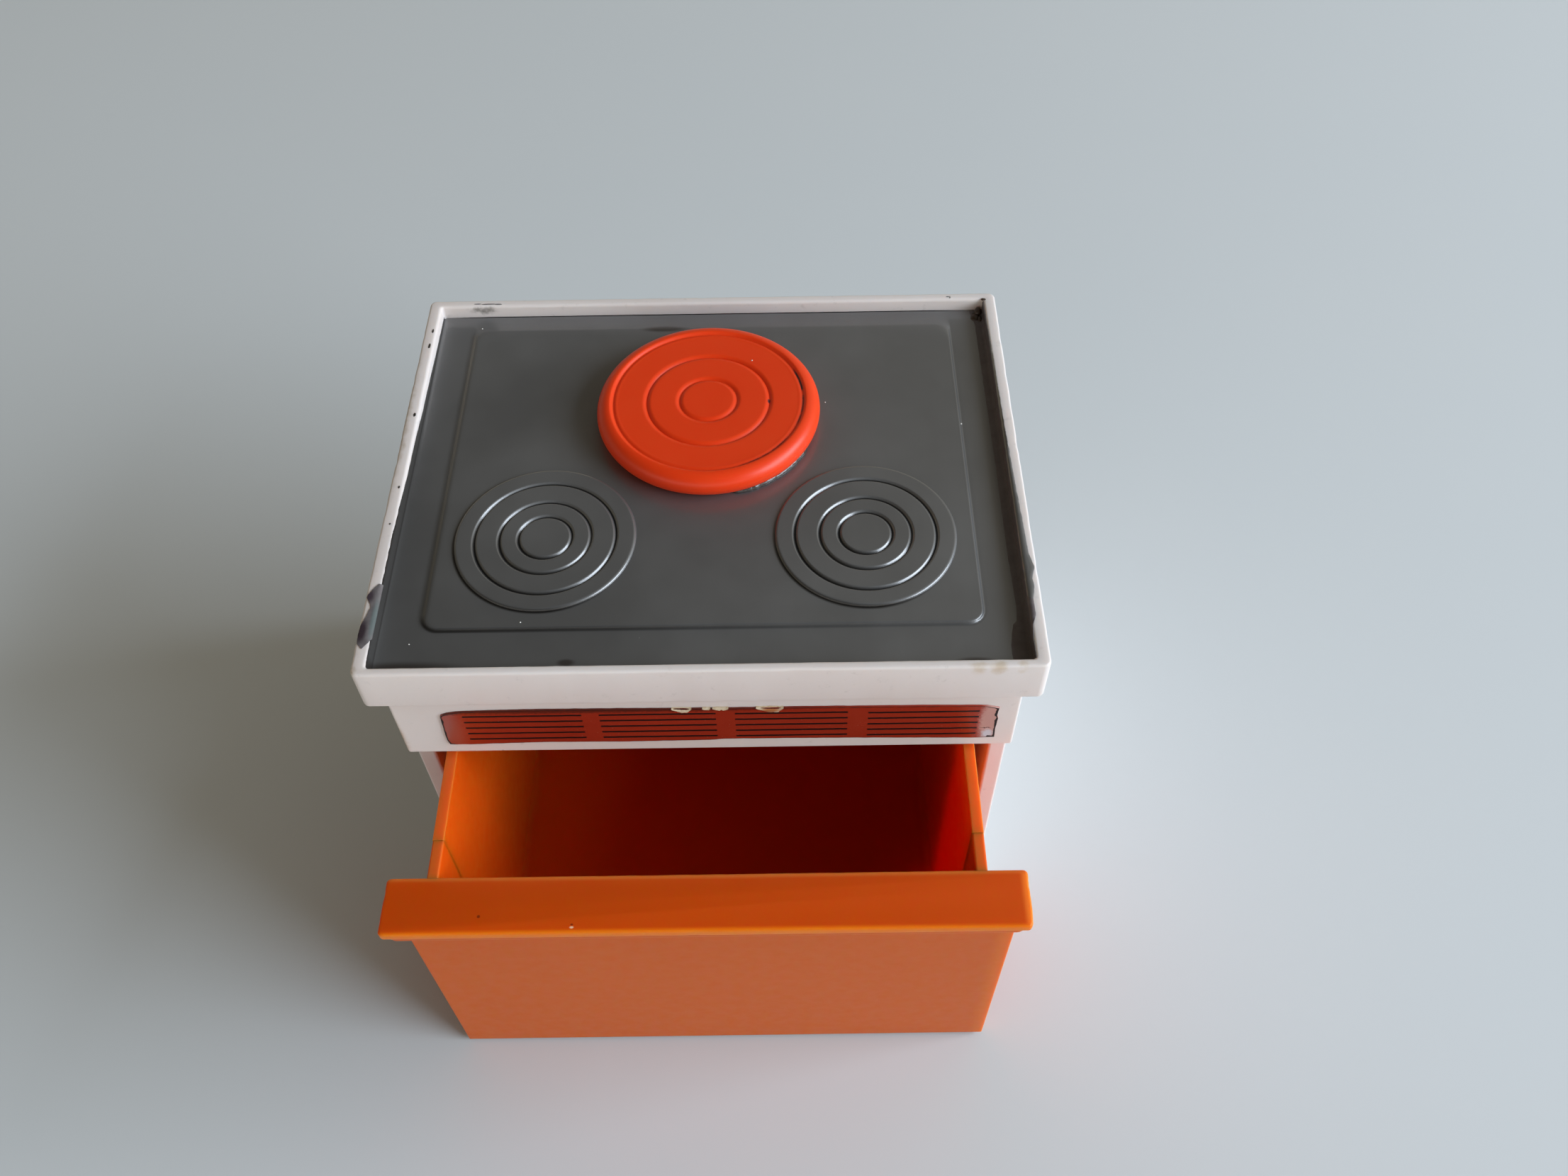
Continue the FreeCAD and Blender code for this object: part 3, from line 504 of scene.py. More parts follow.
HOB_X, HOB_FRONT_Y, HOB_BACK_Y, HOB_CORNER = 33.35, -26.85, 26.65, 0.3
HOB_BOTTOM_Z, HOB_TOP_Z, FIELD_TOP_Z = 58.8, 59.8, 60.1
FIELD_X, FIELD_FRONT_Y, FIELD_BACK_Y, FIELD_CORNER = 29.1, -21.4, 24.4, 1.65
HOTPLATE_X, HOTPLATE_Y, HOTPLATE_RADIUS = 17.35, -9.5, 9.87
RING_RADII = (7.68, 4.98, 2.9)


def band_round(tree, value, middle, inner, outer, strength=1.0):
    """How near a value is to a middle one: full strength up to inner, nothing past outer."""
    away = add_node(tree, "ShaderNodeMath", (value, middle), operation="SUBTRACT")
    away = add_node(tree, "ShaderNodeMath", (away,), operation="ABSOLUTE")
    return add_node(tree, "ShaderNodeMapRange", {"Value": away, "From Min": inner,
        "From Max": outer, "To Min": strength, "To Max": 0.0})


def grey_paint():
    """Silver-grey model paint, IOR 1.5, brushed thick over the plastic: fine metal flakes in
    a glossy skin that answers every edge with a crisp glint, with faint brush lines front to
    back, fine dust and dull patches. Painted shade darkens the corner round the raised field,
    the engraved rings, the plates' edges on the side away from the light, and the paint on
    the recess's left inner wall."""
    material, tree, place = new_finish("paint_silver_grey")
    colour, cloud = mottled(tree, place, 14, "#6f7071", "#797a7b", 0.35, 0.68)
    grains = add_node(tree, "ShaderNodeTexVoronoi", {"Vector": place, "Scale": per_mm(5.0)},
        feature="F1")
    chosen = add_node(tree, "ShaderNodeMath", (grains.node.outputs["Color"], 0.5),
        operation="GREATER_THAN")
    near = add_node(tree, "ShaderNodeMapRange", {"Value": grains, "From Min": 0.008,
        "From Max": 0.018, "To Min": 0.5, "To Max": 0.0})
    dust = add_node(tree, "ShaderNodeMath", (chosen, near), operation="MULTIPLY")
    colour = add_node(tree, "ShaderNodeMix", {MIX_SHARE: dust, MIX_FIRST: colour,
        MIX_SECOND: linear("#c4c4c2")}, out=MIX_RESULT, data_type="RGBA")
    # The last spot darkens the paint on the recess's left inner wall to near black: painted shade.
    for tint, centre, reach in (("#4b4746", (-30.5, -26.3, HOB_TOP_Z), (5.5, 0.9, 3.0)),
                                ("#4b4746", (-5.9, 23.8, HOB_TOP_Z), (2.3, 0.5, 3.0)),
                                ("#4b4746", (27.7, -26.1, HOB_TOP_Z), (1.7, 0.4, 3.0)),
                                ("#4b4746", (-13.8, -25.6, HOB_TOP_Z), (0.8, 0.4, 3.0)),
                                ("#4b4746", (33.6, 2.0, HOB_TOP_Z), (1.5, 27.0, 0.7)),
                                ("#2b2827", (-33.75, -4.0, HOB_TOP_Z), (0.36, 60.0, 9.0))):
        colour = soft_tint(tree, place, colour, tint, centre, reach, 0.5)
    # How far a point lies from the raised field's outline, for the painted shade in its corner.
    middle = (0.0, (FIELD_FRONT_Y + FIELD_BACK_Y) / 2 * MM, 0.0)
    core = ((FIELD_X - FIELD_CORNER) * MM,
            ((FIELD_BACK_Y - FIELD_FRONT_Y) / 2 - FIELD_CORNER) * MM, 1.0)
    off = add_node(tree, "ShaderNodeVectorMath", (place, middle), operation="SUBTRACT")
    off = add_node(tree, "ShaderNodeVectorMath", (off,), operation="ABSOLUTE")
    off = add_node(tree, "ShaderNodeVectorMath", (off, core), operation="SUBTRACT")
    off = add_node(tree, "ShaderNodeVectorMath", (off, (0.0, 0.0, 0.0)), operation="MAXIMUM")
    off = add_node(tree, "ShaderNodeVectorMath", (off,), out="Value", operation="LENGTH")
    off = add_node(tree, "ShaderNodeMath", (off, (FIELD_CORNER + 0.1) * MM), operation="SUBTRACT")
    off = add_node(tree, "ShaderNodeMath", (off,), operation="ABSOLUTE")
    spot = add_node(tree, "ShaderNodeSeparateXYZ", (place,)).node.outputs
    width = add_node(tree, "ShaderNodeMapRange", {"Value": spot["Y"], "From Min": -20.8 * MM,
        "From Max": -19.0 * MM, "To Min": 0.34 * MM, "To Max": 0.7 * MM})
    painted_shade = add_node(tree, "ShaderNodeMapRange", {"Value": off, "From Min": 0.02 * MM,
        "From Max": width, "To Min": 1.0, "To Max": 0.0}, interpolation_type="SMOOTHSTEP")
    front = add_node(tree, "ShaderNodeMapRange", {"Value": spot["Y"], "From Min": -20.8 * MM,
        "From Max": -19.4 * MM, "To Min": 0.9, "To Max": 0.24})
    leftward = add_node(tree, "ShaderNodeMapRange", {"Value": spot["X"], "From Min": -26.0 * MM,
        "From Max": 20.0 * MM, "To Min": 1.0, "To Max": 0.45})
    backward = add_node(tree, "ShaderNodeMapRange", {"Value": spot["Y"], "From Min": 14.0 * MM,
        "From Max": 23.0 * MM, "To Min": 1.0, "To Max": 0.2})
    for part in (front, leftward, backward):
        painted_shade = add_node(tree, "ShaderNodeMath", (painted_shade, part), operation="MULTIPLY")
    # How far it lies from the middle of the nearer hotplate, for the painted shade in the rings.
    side = add_node(tree, "ShaderNodeMath", (spot["X"],), operation="SIGN")
    across = add_node(tree, "ShaderNodeMath", (side, -HOTPLATE_X * MM, spot["X"]),
        operation="MULTIPLY_ADD")
    along = add_node(tree, "ShaderNodeMath", (spot["Y"], HOTPLATE_Y * MM), operation="SUBTRACT")
    spoke = add_node(tree, "ShaderNodeCombineXYZ", {"X": across, "Y": along})
    radius = add_node(tree, "ShaderNodeVectorMath", (spoke,), out="Value", operation="LENGTH")
    turned = add_node(tree, "ShaderNodeVectorMath", (spoke,), operation="NORMALIZE")
    shaded = add_node(tree, "ShaderNodeVectorMath", (turned, (-0.55, -0.83, 0.0)), out="Value",
        operation="DOT_PRODUCT")
    shaded = add_node(tree, "ShaderNodeMapRange", {"Value": shaded, "From Min": 0.1,
        "From Max": 0.75, "To Max": 0.95})
    reach = add_node(tree, "ShaderNodeMapRange", {"Value": shaded, "To Min": 0.13 * MM,
        "To Max": 0.3 * MM})
    for ring, strength in ((RING_RADII[0], 0.9), (RING_RADII[1], 0.9), (RING_RADII[2], 0.9),
                           (HOTPLATE_RADIUS + 0.03, shaded)):
        ring_shade = band_round(tree, radius, ring * MM, 0.05 * MM, reach, strength)
        painted_shade = add_node(tree, "ShaderNodeMath", (painted_shade, ring_shade), operation="MAXIMUM")
    # Painted shade: the field's corner, the rings and the plates' edges on the side away from the
    # light go near black.
    colour = add_node(tree, "ShaderNodeMix", {MIX_SHARE: painted_shade, MIX_FIRST: colour,
        MIX_SECOND: linear("#1a1817")}, out=MIX_RESULT, data_type="RGBA")
    # Brush lines are noise drawn out from front to back.
    stretched = add_node(tree, "ShaderNodeMapping", {"Vector": place, "Scale": (1.0, 0.08, 1.0)})
    strokes = add_node(tree, "ShaderNodeTexNoise", {"Vector": stretched, "Scale": per_mm(0.9),
        "Detail": 4.0})
    gloss = add_node(tree, "ShaderNodeMapRange", {"Value": cloud, "From Min": 0.3, "From Max": 0.7,
        "To Min": 0.42, "To Max": 0.52})
    levelled = add_node(tree, "ShaderNodeBump", {"Height": strokes, "Strength": 0.3,
        "Distance": 0.00002})
    swell = add_node(tree, "ShaderNodeBump", {"Height": cloud, "Strength": 0.35, "Distance": 0.0003,
        "Normal": levelled})
    lay_finish(tree, {"Base Color": colour, "Metallic": 0.65, "Roughness": gloss, "IOR": 1.5,
                      "Normal": swell, "Coat Weight": 1.0, "Coat Roughness": 0.18,
                      "Coat IOR": 1.5, "Coat Normal": swell})
    return material


hob_paint = grey_paint()


def hob_loop(shrink, height):
    """The grey sheet's outline, moved inwards by an amount."""
    return loop_round(shrink - HOB_X, HOB_X - shrink, HOB_FRONT_Y + shrink,
                      HOB_BACK_Y - shrink, HOB_CORNER, height)


def field_loop(shrink, height):
    """The raised field's outline, moved inwards by an amount: its step is crisp in front and
    at the right, softer at the left and flat at the back."""
    return loop_round(3.0 * shrink - FIELD_X, FIELD_X - 0.9 * shrink, FIELD_FRONT_Y + shrink,
                      FIELD_BACK_Y - 8.0 * shrink, FIELD_CORNER - shrink, height)


# How far in and how high the edge of the raised field is, from its foot to its top.
field_step = [(-0.3, 0.0), (-0.22, 0.0), (-0.12, 0.03), (-0.04, 0.1), (0.04, 0.22), (0.1, 0.28),
              (0.2, 0.3), (0.3, 0.3)]
hob_loops = [hob_loop(0.0, HOB_BOTTOM_Z), hob_loop(0.0, HOB_TOP_Z)]
hob_loops += [field_loop(inset, HOB_TOP_Z + rise) for inset, rise in field_step]
hob = solid("hob_sheet", *loft(hob_loops), hob_paint, sharp=60)
on_body(hob, "cabinet", "hob_grey", "hob_plate")


# Hotplates. Two low round plates on the raised field, each with three engraved rings, one
# moulding with the hob and under the same grey paint.

HOTPLATE_TOP_Z, HOTPLATE_ROUNDING = 60.4, 0.34
RING_WIDTH, RING_DEPTH = 0.54, 0.27


def turned_tree(name, material):
    """A round plate turned from one profile: a flat or dished face, three smooth engraved
    rings, a rounded rim, and a row of copies of it."""
    tree, size = new_growth(name, (
        "Radius", "Rim rounding", "Rim turn", "Top Z", "Dish", "Ring width", "Ring depth",
        "Ring softness", "Outer ring", "Middle ring", "Inner ring", "Steps out", "Steps round",
        "Count of plates", "Pitch", "First X", "Row Y"))
    grid = add_node(tree, "GeometryNodeMeshGrid", {"Size X": 1.0, "Size Y": 1.0,
        "Vertices X": size["Steps out"], "Vertices Y": size["Steps round"]})
    # The grid's X becomes the way along the profile, and its Y the turn round the axis.
    spot = add_node(tree, "GeometryNodeInputPosition")
    spot = add_node(tree, "ShaderNodeVectorMath", (spot, (0.5, 0.5, 0.0)), operation="ADD")
    spot = add_node(tree, "ShaderNodeSeparateXYZ", (spot,)).node.outputs
    flat = add_node(tree, "ShaderNodeMath", (size["Radius"], size["Rim rounding"]),
        operation="SUBTRACT")
    whole = add_node(tree, "ShaderNodeMath", (size["Rim rounding"], size["Rim turn"], flat),
        operation="MULTIPLY_ADD")
    travel = add_node(tree, "ShaderNodeMath", (spot["X"], whole), operation="MULTIPLY")
    out = add_node(tree, "ShaderNodeMath", (travel, flat), operation="MINIMUM")
    past = add_node(tree, "ShaderNodeMath", (travel, out), operation="SUBTRACT")
    bend = add_node(tree, "ShaderNodeMath", (past, size["Rim rounding"]), operation="DIVIDE")
    sine = add_node(tree, "ShaderNodeMath", (bend,), operation="SINE")
    radius = add_node(tree, "ShaderNodeMath", (sine, size["Rim rounding"], out),
        operation="MULTIPLY_ADD")
    closed = add_node(tree, "ShaderNodeMath", (spot["X"], 0.9999), operation="LESS_THAN")
    radius = add_node(tree, "ShaderNodeMath", (radius, closed), operation="MULTIPLY")
    cosine = add_node(tree, "ShaderNodeMath", (bend,), operation="COSINE")
    fall = add_node(tree, "ShaderNodeMath", (1.0, cosine), operation="SUBTRACT")
    fall = add_node(tree, "ShaderNodeMath", (fall, size["Rim rounding"]), operation="MULTIPLY")
    # The dish ends across the outer ring, and each ring is cut into the face.
    half = add_node(tree, "ShaderNodeMath", (size["Ring width"], 0.5), operation="MULTIPLY")
    inside = add_node(tree, "ShaderNodeMath", (size["Outer ring"], half), operation="SUBTRACT")
    outside = add_node(tree, "ShaderNodeMath", (size["Outer ring"], half), operation="ADD")
    dish = add_node(tree, "ShaderNodeMapRange", {"Value": out, "From Min": inside,
        "From Max": outside, "To Min": size["Dish"], "To Max": 0.0})
    fall = add_node(tree, "ShaderNodeMath", (fall, dish), operation="ADD")
    for ring in ("Outer ring", "Middle ring", "Inner ring"):
        cut = band_round(tree, out, size[ring], 0.0, half)
        cut = add_node(tree, "ShaderNodeMath", (cut, size["Ring softness"]), operation="POWER")
        fall = add_node(tree, "ShaderNodeMath", (cut, size["Ring depth"], fall),
            operation="MULTIPLY_ADD")
    height = add_node(tree, "ShaderNodeMath", (size["Top Z"], fall), operation="SUBTRACT")
    turn = add_node(tree, "ShaderNodeMath", (spot["Y"], math.tau), operation="MULTIPLY")
    cosine = add_node(tree, "ShaderNodeMath", (turn,), operation="COSINE")
    sine = add_node(tree, "ShaderNodeMath", (turn,), operation="SINE")
    place = add_node(tree, "ShaderNodeCombineXYZ",
        {"X": add_node(tree, "ShaderNodeMath", (radius, cosine), operation="MULTIPLY"),
        "Y": add_node(tree, "ShaderNodeMath", (radius, sine), operation="MULTIPLY"), "Z": height})
    plate = add_node(tree, "GeometryNodeSetPosition", {"Geometry": grid, "Position": place})
    plate = add_node(tree, "GeometryNodeMergeByDistance", {"Geometry": plate,
        "Distance": 0.001 * MM})
    start = add_node(tree, "ShaderNodeCombineXYZ", {"X": size["First X"], "Y": size["Row Y"]})
    across = add_node(tree, "ShaderNodeCombineXYZ", {"X": size["Pitch"]})
    row = add_node(tree, "GeometryNodeMeshLine", {"Count": size["Count of plates"],
        "Start Location": start, "Offset": across})
    plates = add_node(tree, "GeometryNodeInstanceOnPoints", {"Points": row, "Instance": plate})
    end_growth(tree, plates, material)
    return tree


hotplates = grow("hotplates", turned_tree("turned_hotplates", hob_paint), {
    "Radius": HOTPLATE_RADIUS * MM, "Rim rounding": HOTPLATE_ROUNDING * MM, "Rim turn": math.pi / 2,
    "Top Z": HOTPLATE_TOP_Z * MM, "Dish": 0.0, "Ring width": RING_WIDTH * MM,
    "Ring depth": RING_DEPTH * MM, "Ring softness": 1.0, "Outer ring": RING_RADII[0] * MM,
    "Middle ring": RING_RADII[1] * MM, "Inner ring": RING_RADII[2] * MM,
    "Steps out": 140, "Steps round": 121, "Count of plates": 2, "Pitch": 2 * HOTPLATE_X * MM,
    "First X": -HOTPLATE_X * MM, "Row Y": HOTPLATE_Y * MM}, sharp=70)
on_body(hotplates, "cabinet", "hob_grey")


# Paint on the rim. The hob's grey paint ran up the inner walls of the tray: far over the rim
# along the right, and in one thick smear near the front of the left, with a few drops. It is
# a film of a few hundredths, like the old brown glue that seals the hob's right edge.

FILM, FILM_ROOT = 0.05, 0.07  # how thick a film is, and how far it reaches into its ground
ROWS_START, ROWS_STEP, ROWS_COUNT = -26.95, 0.25, 215
SMEAR_START, SMEAR_STEP, SMEAR_COUNT = -24.7, 0.1, 83
SPILL_EDGE = [(-26.8, 33.62), (-24.4, 33.6), (-22.9, 33.74), (-21.6, 34.12), (-19.7, 34.1),
              (-18.1, 34.4), (-17.0, 34.32), (-15.4, 34.73), (-13.6, 34.32), (-8.7, 34.2),
              (-4.1, 34.04), (4.7, 33.85), (12.0, 33.76), (16.6, 33.74), (22.0, 33.62), (26.5, 33.52)]
SEAM_SHORE = [(-26.8, 31.5), (-24.2, 31.5), (-21.7, 31.95), (-21.2, 32.4), (-19.5, 32.57),
              (-12.0, 32.43), (0.0, 32.5), (24.0, 32.4), (26.5, 31.9)]
SEAM_LAP_Y = -19.2
LEFT_CLIMB = [(-26.9, 1.5), (-25.0, 1.6), (-15.0, 1.65), (-10.0, 1.65), (-5.0, 1.5),
              (0.0, 1.2), (5.0, 1.1), (10.0, 0.7), (15.0, 0.6), (20.0, 0.35), (26.0, 0.25)]
SMEAR_OUTER = [(-24.7, 34.28), (-24.1, 34.8), (-23.2, 34.9), (-21.8, 34.86), (-20.9, 34.55),
               (-19.6, 34.22), (-19.1, 34.35), (-18.2, 34.87), (-17.8, 34.73), (-16.9, 34.21),
               (-16.4, 33.8)]
SMEAR_INNER = [(-24.7, 34.2), (-24.0, 33.72), (-23.4, 33.52)]


def between(table, at):
    """The value of a short table at a place between its entries."""
    for (a, low), (b, high) in zip(table, table[1:]):
        if a <= at <= b:
            return low + (high - low) * (at - a) / (b - a)
    return table[0][1] if at < table[0][0] else table[-1][1]


def film_strip(sections):
    """A closed strip through cross-sections that all have the same number of points."""
    count, bands = len(sections[0]), len(sections) - 1
    last = bands * count
    faces = [tuple(range(count)), tuple(reversed(range(last, last + count)))]
    return [point for section in sections for point in section], faces + side_faces(count, bands)


def gather(parts):
    """Several sets of points and faces as one."""
    points, faces = [], []
    for some_points, some_faces in parts:
        start = len(points)
        points += some_points
        faces += [tuple(start + i for i in face) for face in some_faces]
    return points, faces


def drop(x, y, z, across, along, height, rng):
    """A low drop with an uneven outline on a level surface."""
    count, phase = 18, rng.uniform(0, 9)
    outline = []
    for i in range(count):
        turn = math.tau * i / count
        swell = 1 + 0.22 * waver(math.cos(turn) * 1.3, math.sin(turn) * 1.3, phase)
        outline.append((across * swell * math.cos(turn), along * swell * math.sin(turn)))
    points = []
    for share, lift in ((1.0, -0.03), (1.0, 0.0), (0.85, 0.55), (0.55, 0.9)):
        points += [(x + a * share, y + b * share, z + (lift * height if lift > 0 else lift))
                   for a, b in outline]
    points.append((x, y, z + height))
    faces = [tuple(reversed(range(count)))] + side_faces(count, 3)
    top = 3 * count
    faces += [(top + i, top + (i + 1) % count, 4 * count) for i in range(count)]
    return points, faces


RIM_WALL = RIM_TOP_Z - RIM_INNER_EDGE - HOB_TOP_Z
RIM_BEND = RIM_INNER_EDGE * math.pi / 2
RIM_FLAT = TRAY_X - TRAY_EDGE - RECESS_X - RIM_INNER_EDGE


def travel_to(x):
    """How far up the wall and over the rim a distance from the middle lies."""
    if x < RECESS_X + RIM_INNER_EDGE:
        share = min(1.0, (RECESS_X + RIM_INNER_EDGE - x) / RIM_INNER_EDGE)
        return RIM_WALL + RIM_INNER_EDGE * math.acos(share)
    if x < TRAY_X - TRAY_EDGE:
        return RIM_WALL + RIM_BEND + x - RECESS_X - RIM_INNER_EDGE
    turn = math.asin((x - TRAY_X + TRAY_EDGE) / TRAY_EDGE)
    return RIM_WALL + RIM_BEND + RIM_FLAT + TRAY_EDGE * turn


def rim_point(travel, lift):
    """A point on the rim's section, from the hob up the inner wall, over the top and round the
    outer edge, lifted off the surface by an amount."""
    if travel < RIM_WALL:
        return RECESS_X - lift, HOB_TOP_Z + travel
    if travel < RIM_WALL + RIM_BEND:
        turn = (travel - RIM_WALL) / RIM_INNER_EDGE
        reach = RIM_INNER_EDGE + lift
        return (RECESS_X + RIM_INNER_EDGE - reach * math.cos(turn),
                RIM_TOP_Z - RIM_INNER_EDGE + reach * math.sin(turn))
    if travel < RIM_WALL + RIM_BEND + RIM_FLAT:
        return RECESS_X + RIM_INNER_EDGE + travel - RIM_WALL - RIM_BEND, RIM_TOP_Z + lift
    turn = (travel - RIM_WALL - RIM_BEND - RIM_FLAT) / TRAY_EDGE
    reach = TRAY_EDGE + lift
    return (TRAY_X - TRAY_EDGE + reach * math.sin(turn),
            RIM_TOP_Z - TRAY_EDGE + reach * math.cos(turn))


def film_section(y, side, start, end, thick, shore=()):
    """A film's cross-section on one side's rim, from a start up to its ragged edge."""
    ragged = 0.05 * waver(y / 0.9, 4.0, side) + 0.03 * waver(y / 0.3, 7.0, side)
    end = max(end + ragged, start + 0.05)
    travels = [start + (end - start) * share
               for share in (0.0, 0.04, 0.2, 0.4, 0.55, 0.65, 0.75, 0.85, 0.97, 1.0)]
    over = [rim_point(t, 0.0 if t == end else thick) for t in travels]
    under = [rim_point(t, -FILM_ROOT) for t in reversed(travels)]
    section = list(shore) + over + under + [(x, z - 0.1) for x, z in reversed(shore)]
    return [(side * x, y, z) for x, z in section]


def seam_section(y):
    """The brown glue's cross-section: a thin skin on the hob that climbs the right wall."""
    shore_x = between(SEAM_SHORE, y) + 0.08 * waver(y / 0.8, 1.0, 0)
    lap = between(SPILL_EDGE, y) - 0.01
    lap = between([(SEAM_LAP_Y - 0.5, lap), (SEAM_LAP_Y, RECESS_X + 0.09)], y)
    shore = [(shore_x, HOB_TOP_Z), (shore_x + 0.1, 59.84), (32.95, 59.87), (33.25, 60.0)]
    return film_section(y, 1, 0.3, travel_to(lap), FILM + 0.02, shore)


def paint_smear():
    """The same paint rubbed thin over white plastic while wet: a glossy grey mauve, nearly
    black where it stayed thick, and a cool grey green along the hob that is a painted
    reflection of the light the film catches there."""
    material, tree, place = new_finish("paint_grey_rubbed")
    colour, drift = mottled(tree, place, 0.8, "#625d5f", "#726d6e", 0.3, 0.7)
    # The first spot, the cool grey green along the hob, is a painted reflection.
    for tint, centre, reach, softness in (
            ("#5d6666", (-33.62, -21.0, RIM_TOP_Z), (0.3, 2.2, 2.0), 0.6),
            ("#423840", (-34.55, -18.1, RIM_TOP_Z), (0.42, 0.8, 2.0), 0.6),
            ("#3a3036", (-34.6, -22.6, RIM_TOP_Z), (0.46, 1.4, 2.0), 0.5)):
        colour = soft_tint(tree, place, colour, tint, centre, reach, softness)
    lumps = add_node(tree, "ShaderNodeBump", {"Height": drift, "Strength": 0.5,
        "Distance": 0.00008})
    lay_finish(tree, {"Base Color": colour, "Roughness": 0.25, "IOR": 1.5, "Normal": lumps})
    return material


def brown_glue(name, dark, light, lump_height):
    """Aged rubber glue, IOR 1.5: almost black brown, uneven, and fairly glossy."""
    material, tree, place = new_finish(name)
    colour, lumps = mottled(tree, place, 1.1, dark, light, 0.2, 0.8)
    rough = add_node(tree, "ShaderNodeBump", {"Height": lumps, "Strength": 0.6,
        "Distance": lump_height * MM})
    lay_finish(tree, {"Base Color": colour, "Roughness": 0.4, "IOR": 1.5, "Normal": rough})
    return material


rng = random.Random(7)
rows = [ROWS_START + ROWS_STEP * i for i in range(ROWS_COUNT)]
spill = film_strip([film_section(y, 1, 0.15, travel_to(between(SPILL_EDGE, y)), FILM)
                    for y in rows])
gap_skin = [(HOB_X - 0.1, HOB_TOP_Z), (HOB_X - 0.1, HOB_TOP_Z + 0.015)]
climb = film_strip([film_section(y, -1, 0.02, between(LEFT_CLIMB, y), FILM, gap_skin)
                    for y in rows])
drops = [drop(x, y, RIM_TOP_Z, a, b, FILM, rng) for x, y, a, b in (
    (-33.98, -2.93, 0.12, 0.2), (-34.1, -8.25, 0.1, 0.14), (-33.98, 8.22, 0.16, 0.3),
    (-33.98, 19.8, 0.14, 0.42), (-33.96, 22.45, 0.12, 0.36), (-29.1, 27.25, 0.5, 0.08),
    (-27.6, 27.2, 1.0, 0.09), (-26.6, 27.17, 0.5, 0.1), (29.2, 27.3, 0.22, 0.07),
    (29.45, 27.2, 0.07, 0.2))]
on_body(solid("hob_paint_on_rim", *gather([spill, climb] + drops), hob_paint, sharp=60),
        "cabinet", "hob_grey")

smear_rows = [SMEAR_START + SMEAR_STEP * i for i in range(SMEAR_COUNT)]
smear = film_strip([film_section(y, -1, travel_to(between(SMEAR_INNER, y)),
                                 travel_to(between(SMEAR_OUTER, y)), FILM + 0.03)
                    for y in smear_rows])
on_body(solid("paint_smear_on_rim", *smear, paint_smear(), sharp=60), "cabinet", "hob_grey")

seam_glue = brown_glue("glue_brown_film", "#575052", "#666062", 0.015)
on_body(solid("glue_seam", *film_strip([seam_section(y) for y in rows]), seam_glue, sharp=60),
        "cabinet", "hob_grey")


# Old glue and dust. A brown lump of glue sits in the hob's right back corner, and a few grains
# of pale dust lie on the plates.

def pale_dust():
    """Plaster dust: a dull off-white grain with a slightly darker core."""
    material, tree, place = new_finish("dust_plaster")
    colour, _ = mottled(tree, place, 0.2, "#c9c7c0", "#e2e0da", 0.0, 1.0)
    lay_finish(tree, {"Base Color": colour, "Roughness": 0.9, "IOR": 1.45})
    return material


glue_lumps = [drop(x, y, z, a, b, h, rng) for x, y, z, a, b, h in (
    (33.0, 26.1, 59.78, 0.55, 0.6, 0.75), (32.6, 25.4, 59.78, 0.6, 0.75, 0.32),
    (33.1, 24.9, 59.78, 0.3, 0.6, 0.4), (33.55, 26.75, RIM_TOP_Z, 0.3, 0.22, 0.06))]
lump_glue = brown_glue("glue_brown_dried", "#1d1713", "#4a3a2c", 0.12)
on_body(solid("glue_in_corner", *gather(glue_lumps), lump_glue, sharp=80), "cabinet", "hob_grey")

grains = [drop(x, y, z, r, r * 0.8, r * 0.7, rng) for x, y, z, r in (
    (13.53, 10.66, FIELD_TOP_Z, 0.09), (29.16, 6.92, 60.0, 0.12), (-18.87, -20.67, FIELD_TOP_Z, 0.1),
    (-30.1, -23.05, HOB_TOP_Z, 0.09), (-28.42, 24.3, FIELD_TOP_Z, 0.09), (5.01, 14.88, 62.95, 0.1))]
on_body(solid("dust_grains", *gather(grains), pale_dust(), sharp=80), "cabinet", "hob_grey")


# Round plate. Orange-red polystyrene turned out of a mould in one go, with a fat rounded rim
# and three shallow rings, glued down by a peg in the hob. Clear glue shows at its edge.

DISC_Y, DISC_RADIUS, DISC_TOP_Z, DISC_THICKNESS = 8.54, 12.85, 63.2, 3.1
DISC_RINGS = (10.92, 7.06, 3.31)
PAINTED_RING = 10.93  # radius of the dark paint in the outer ring


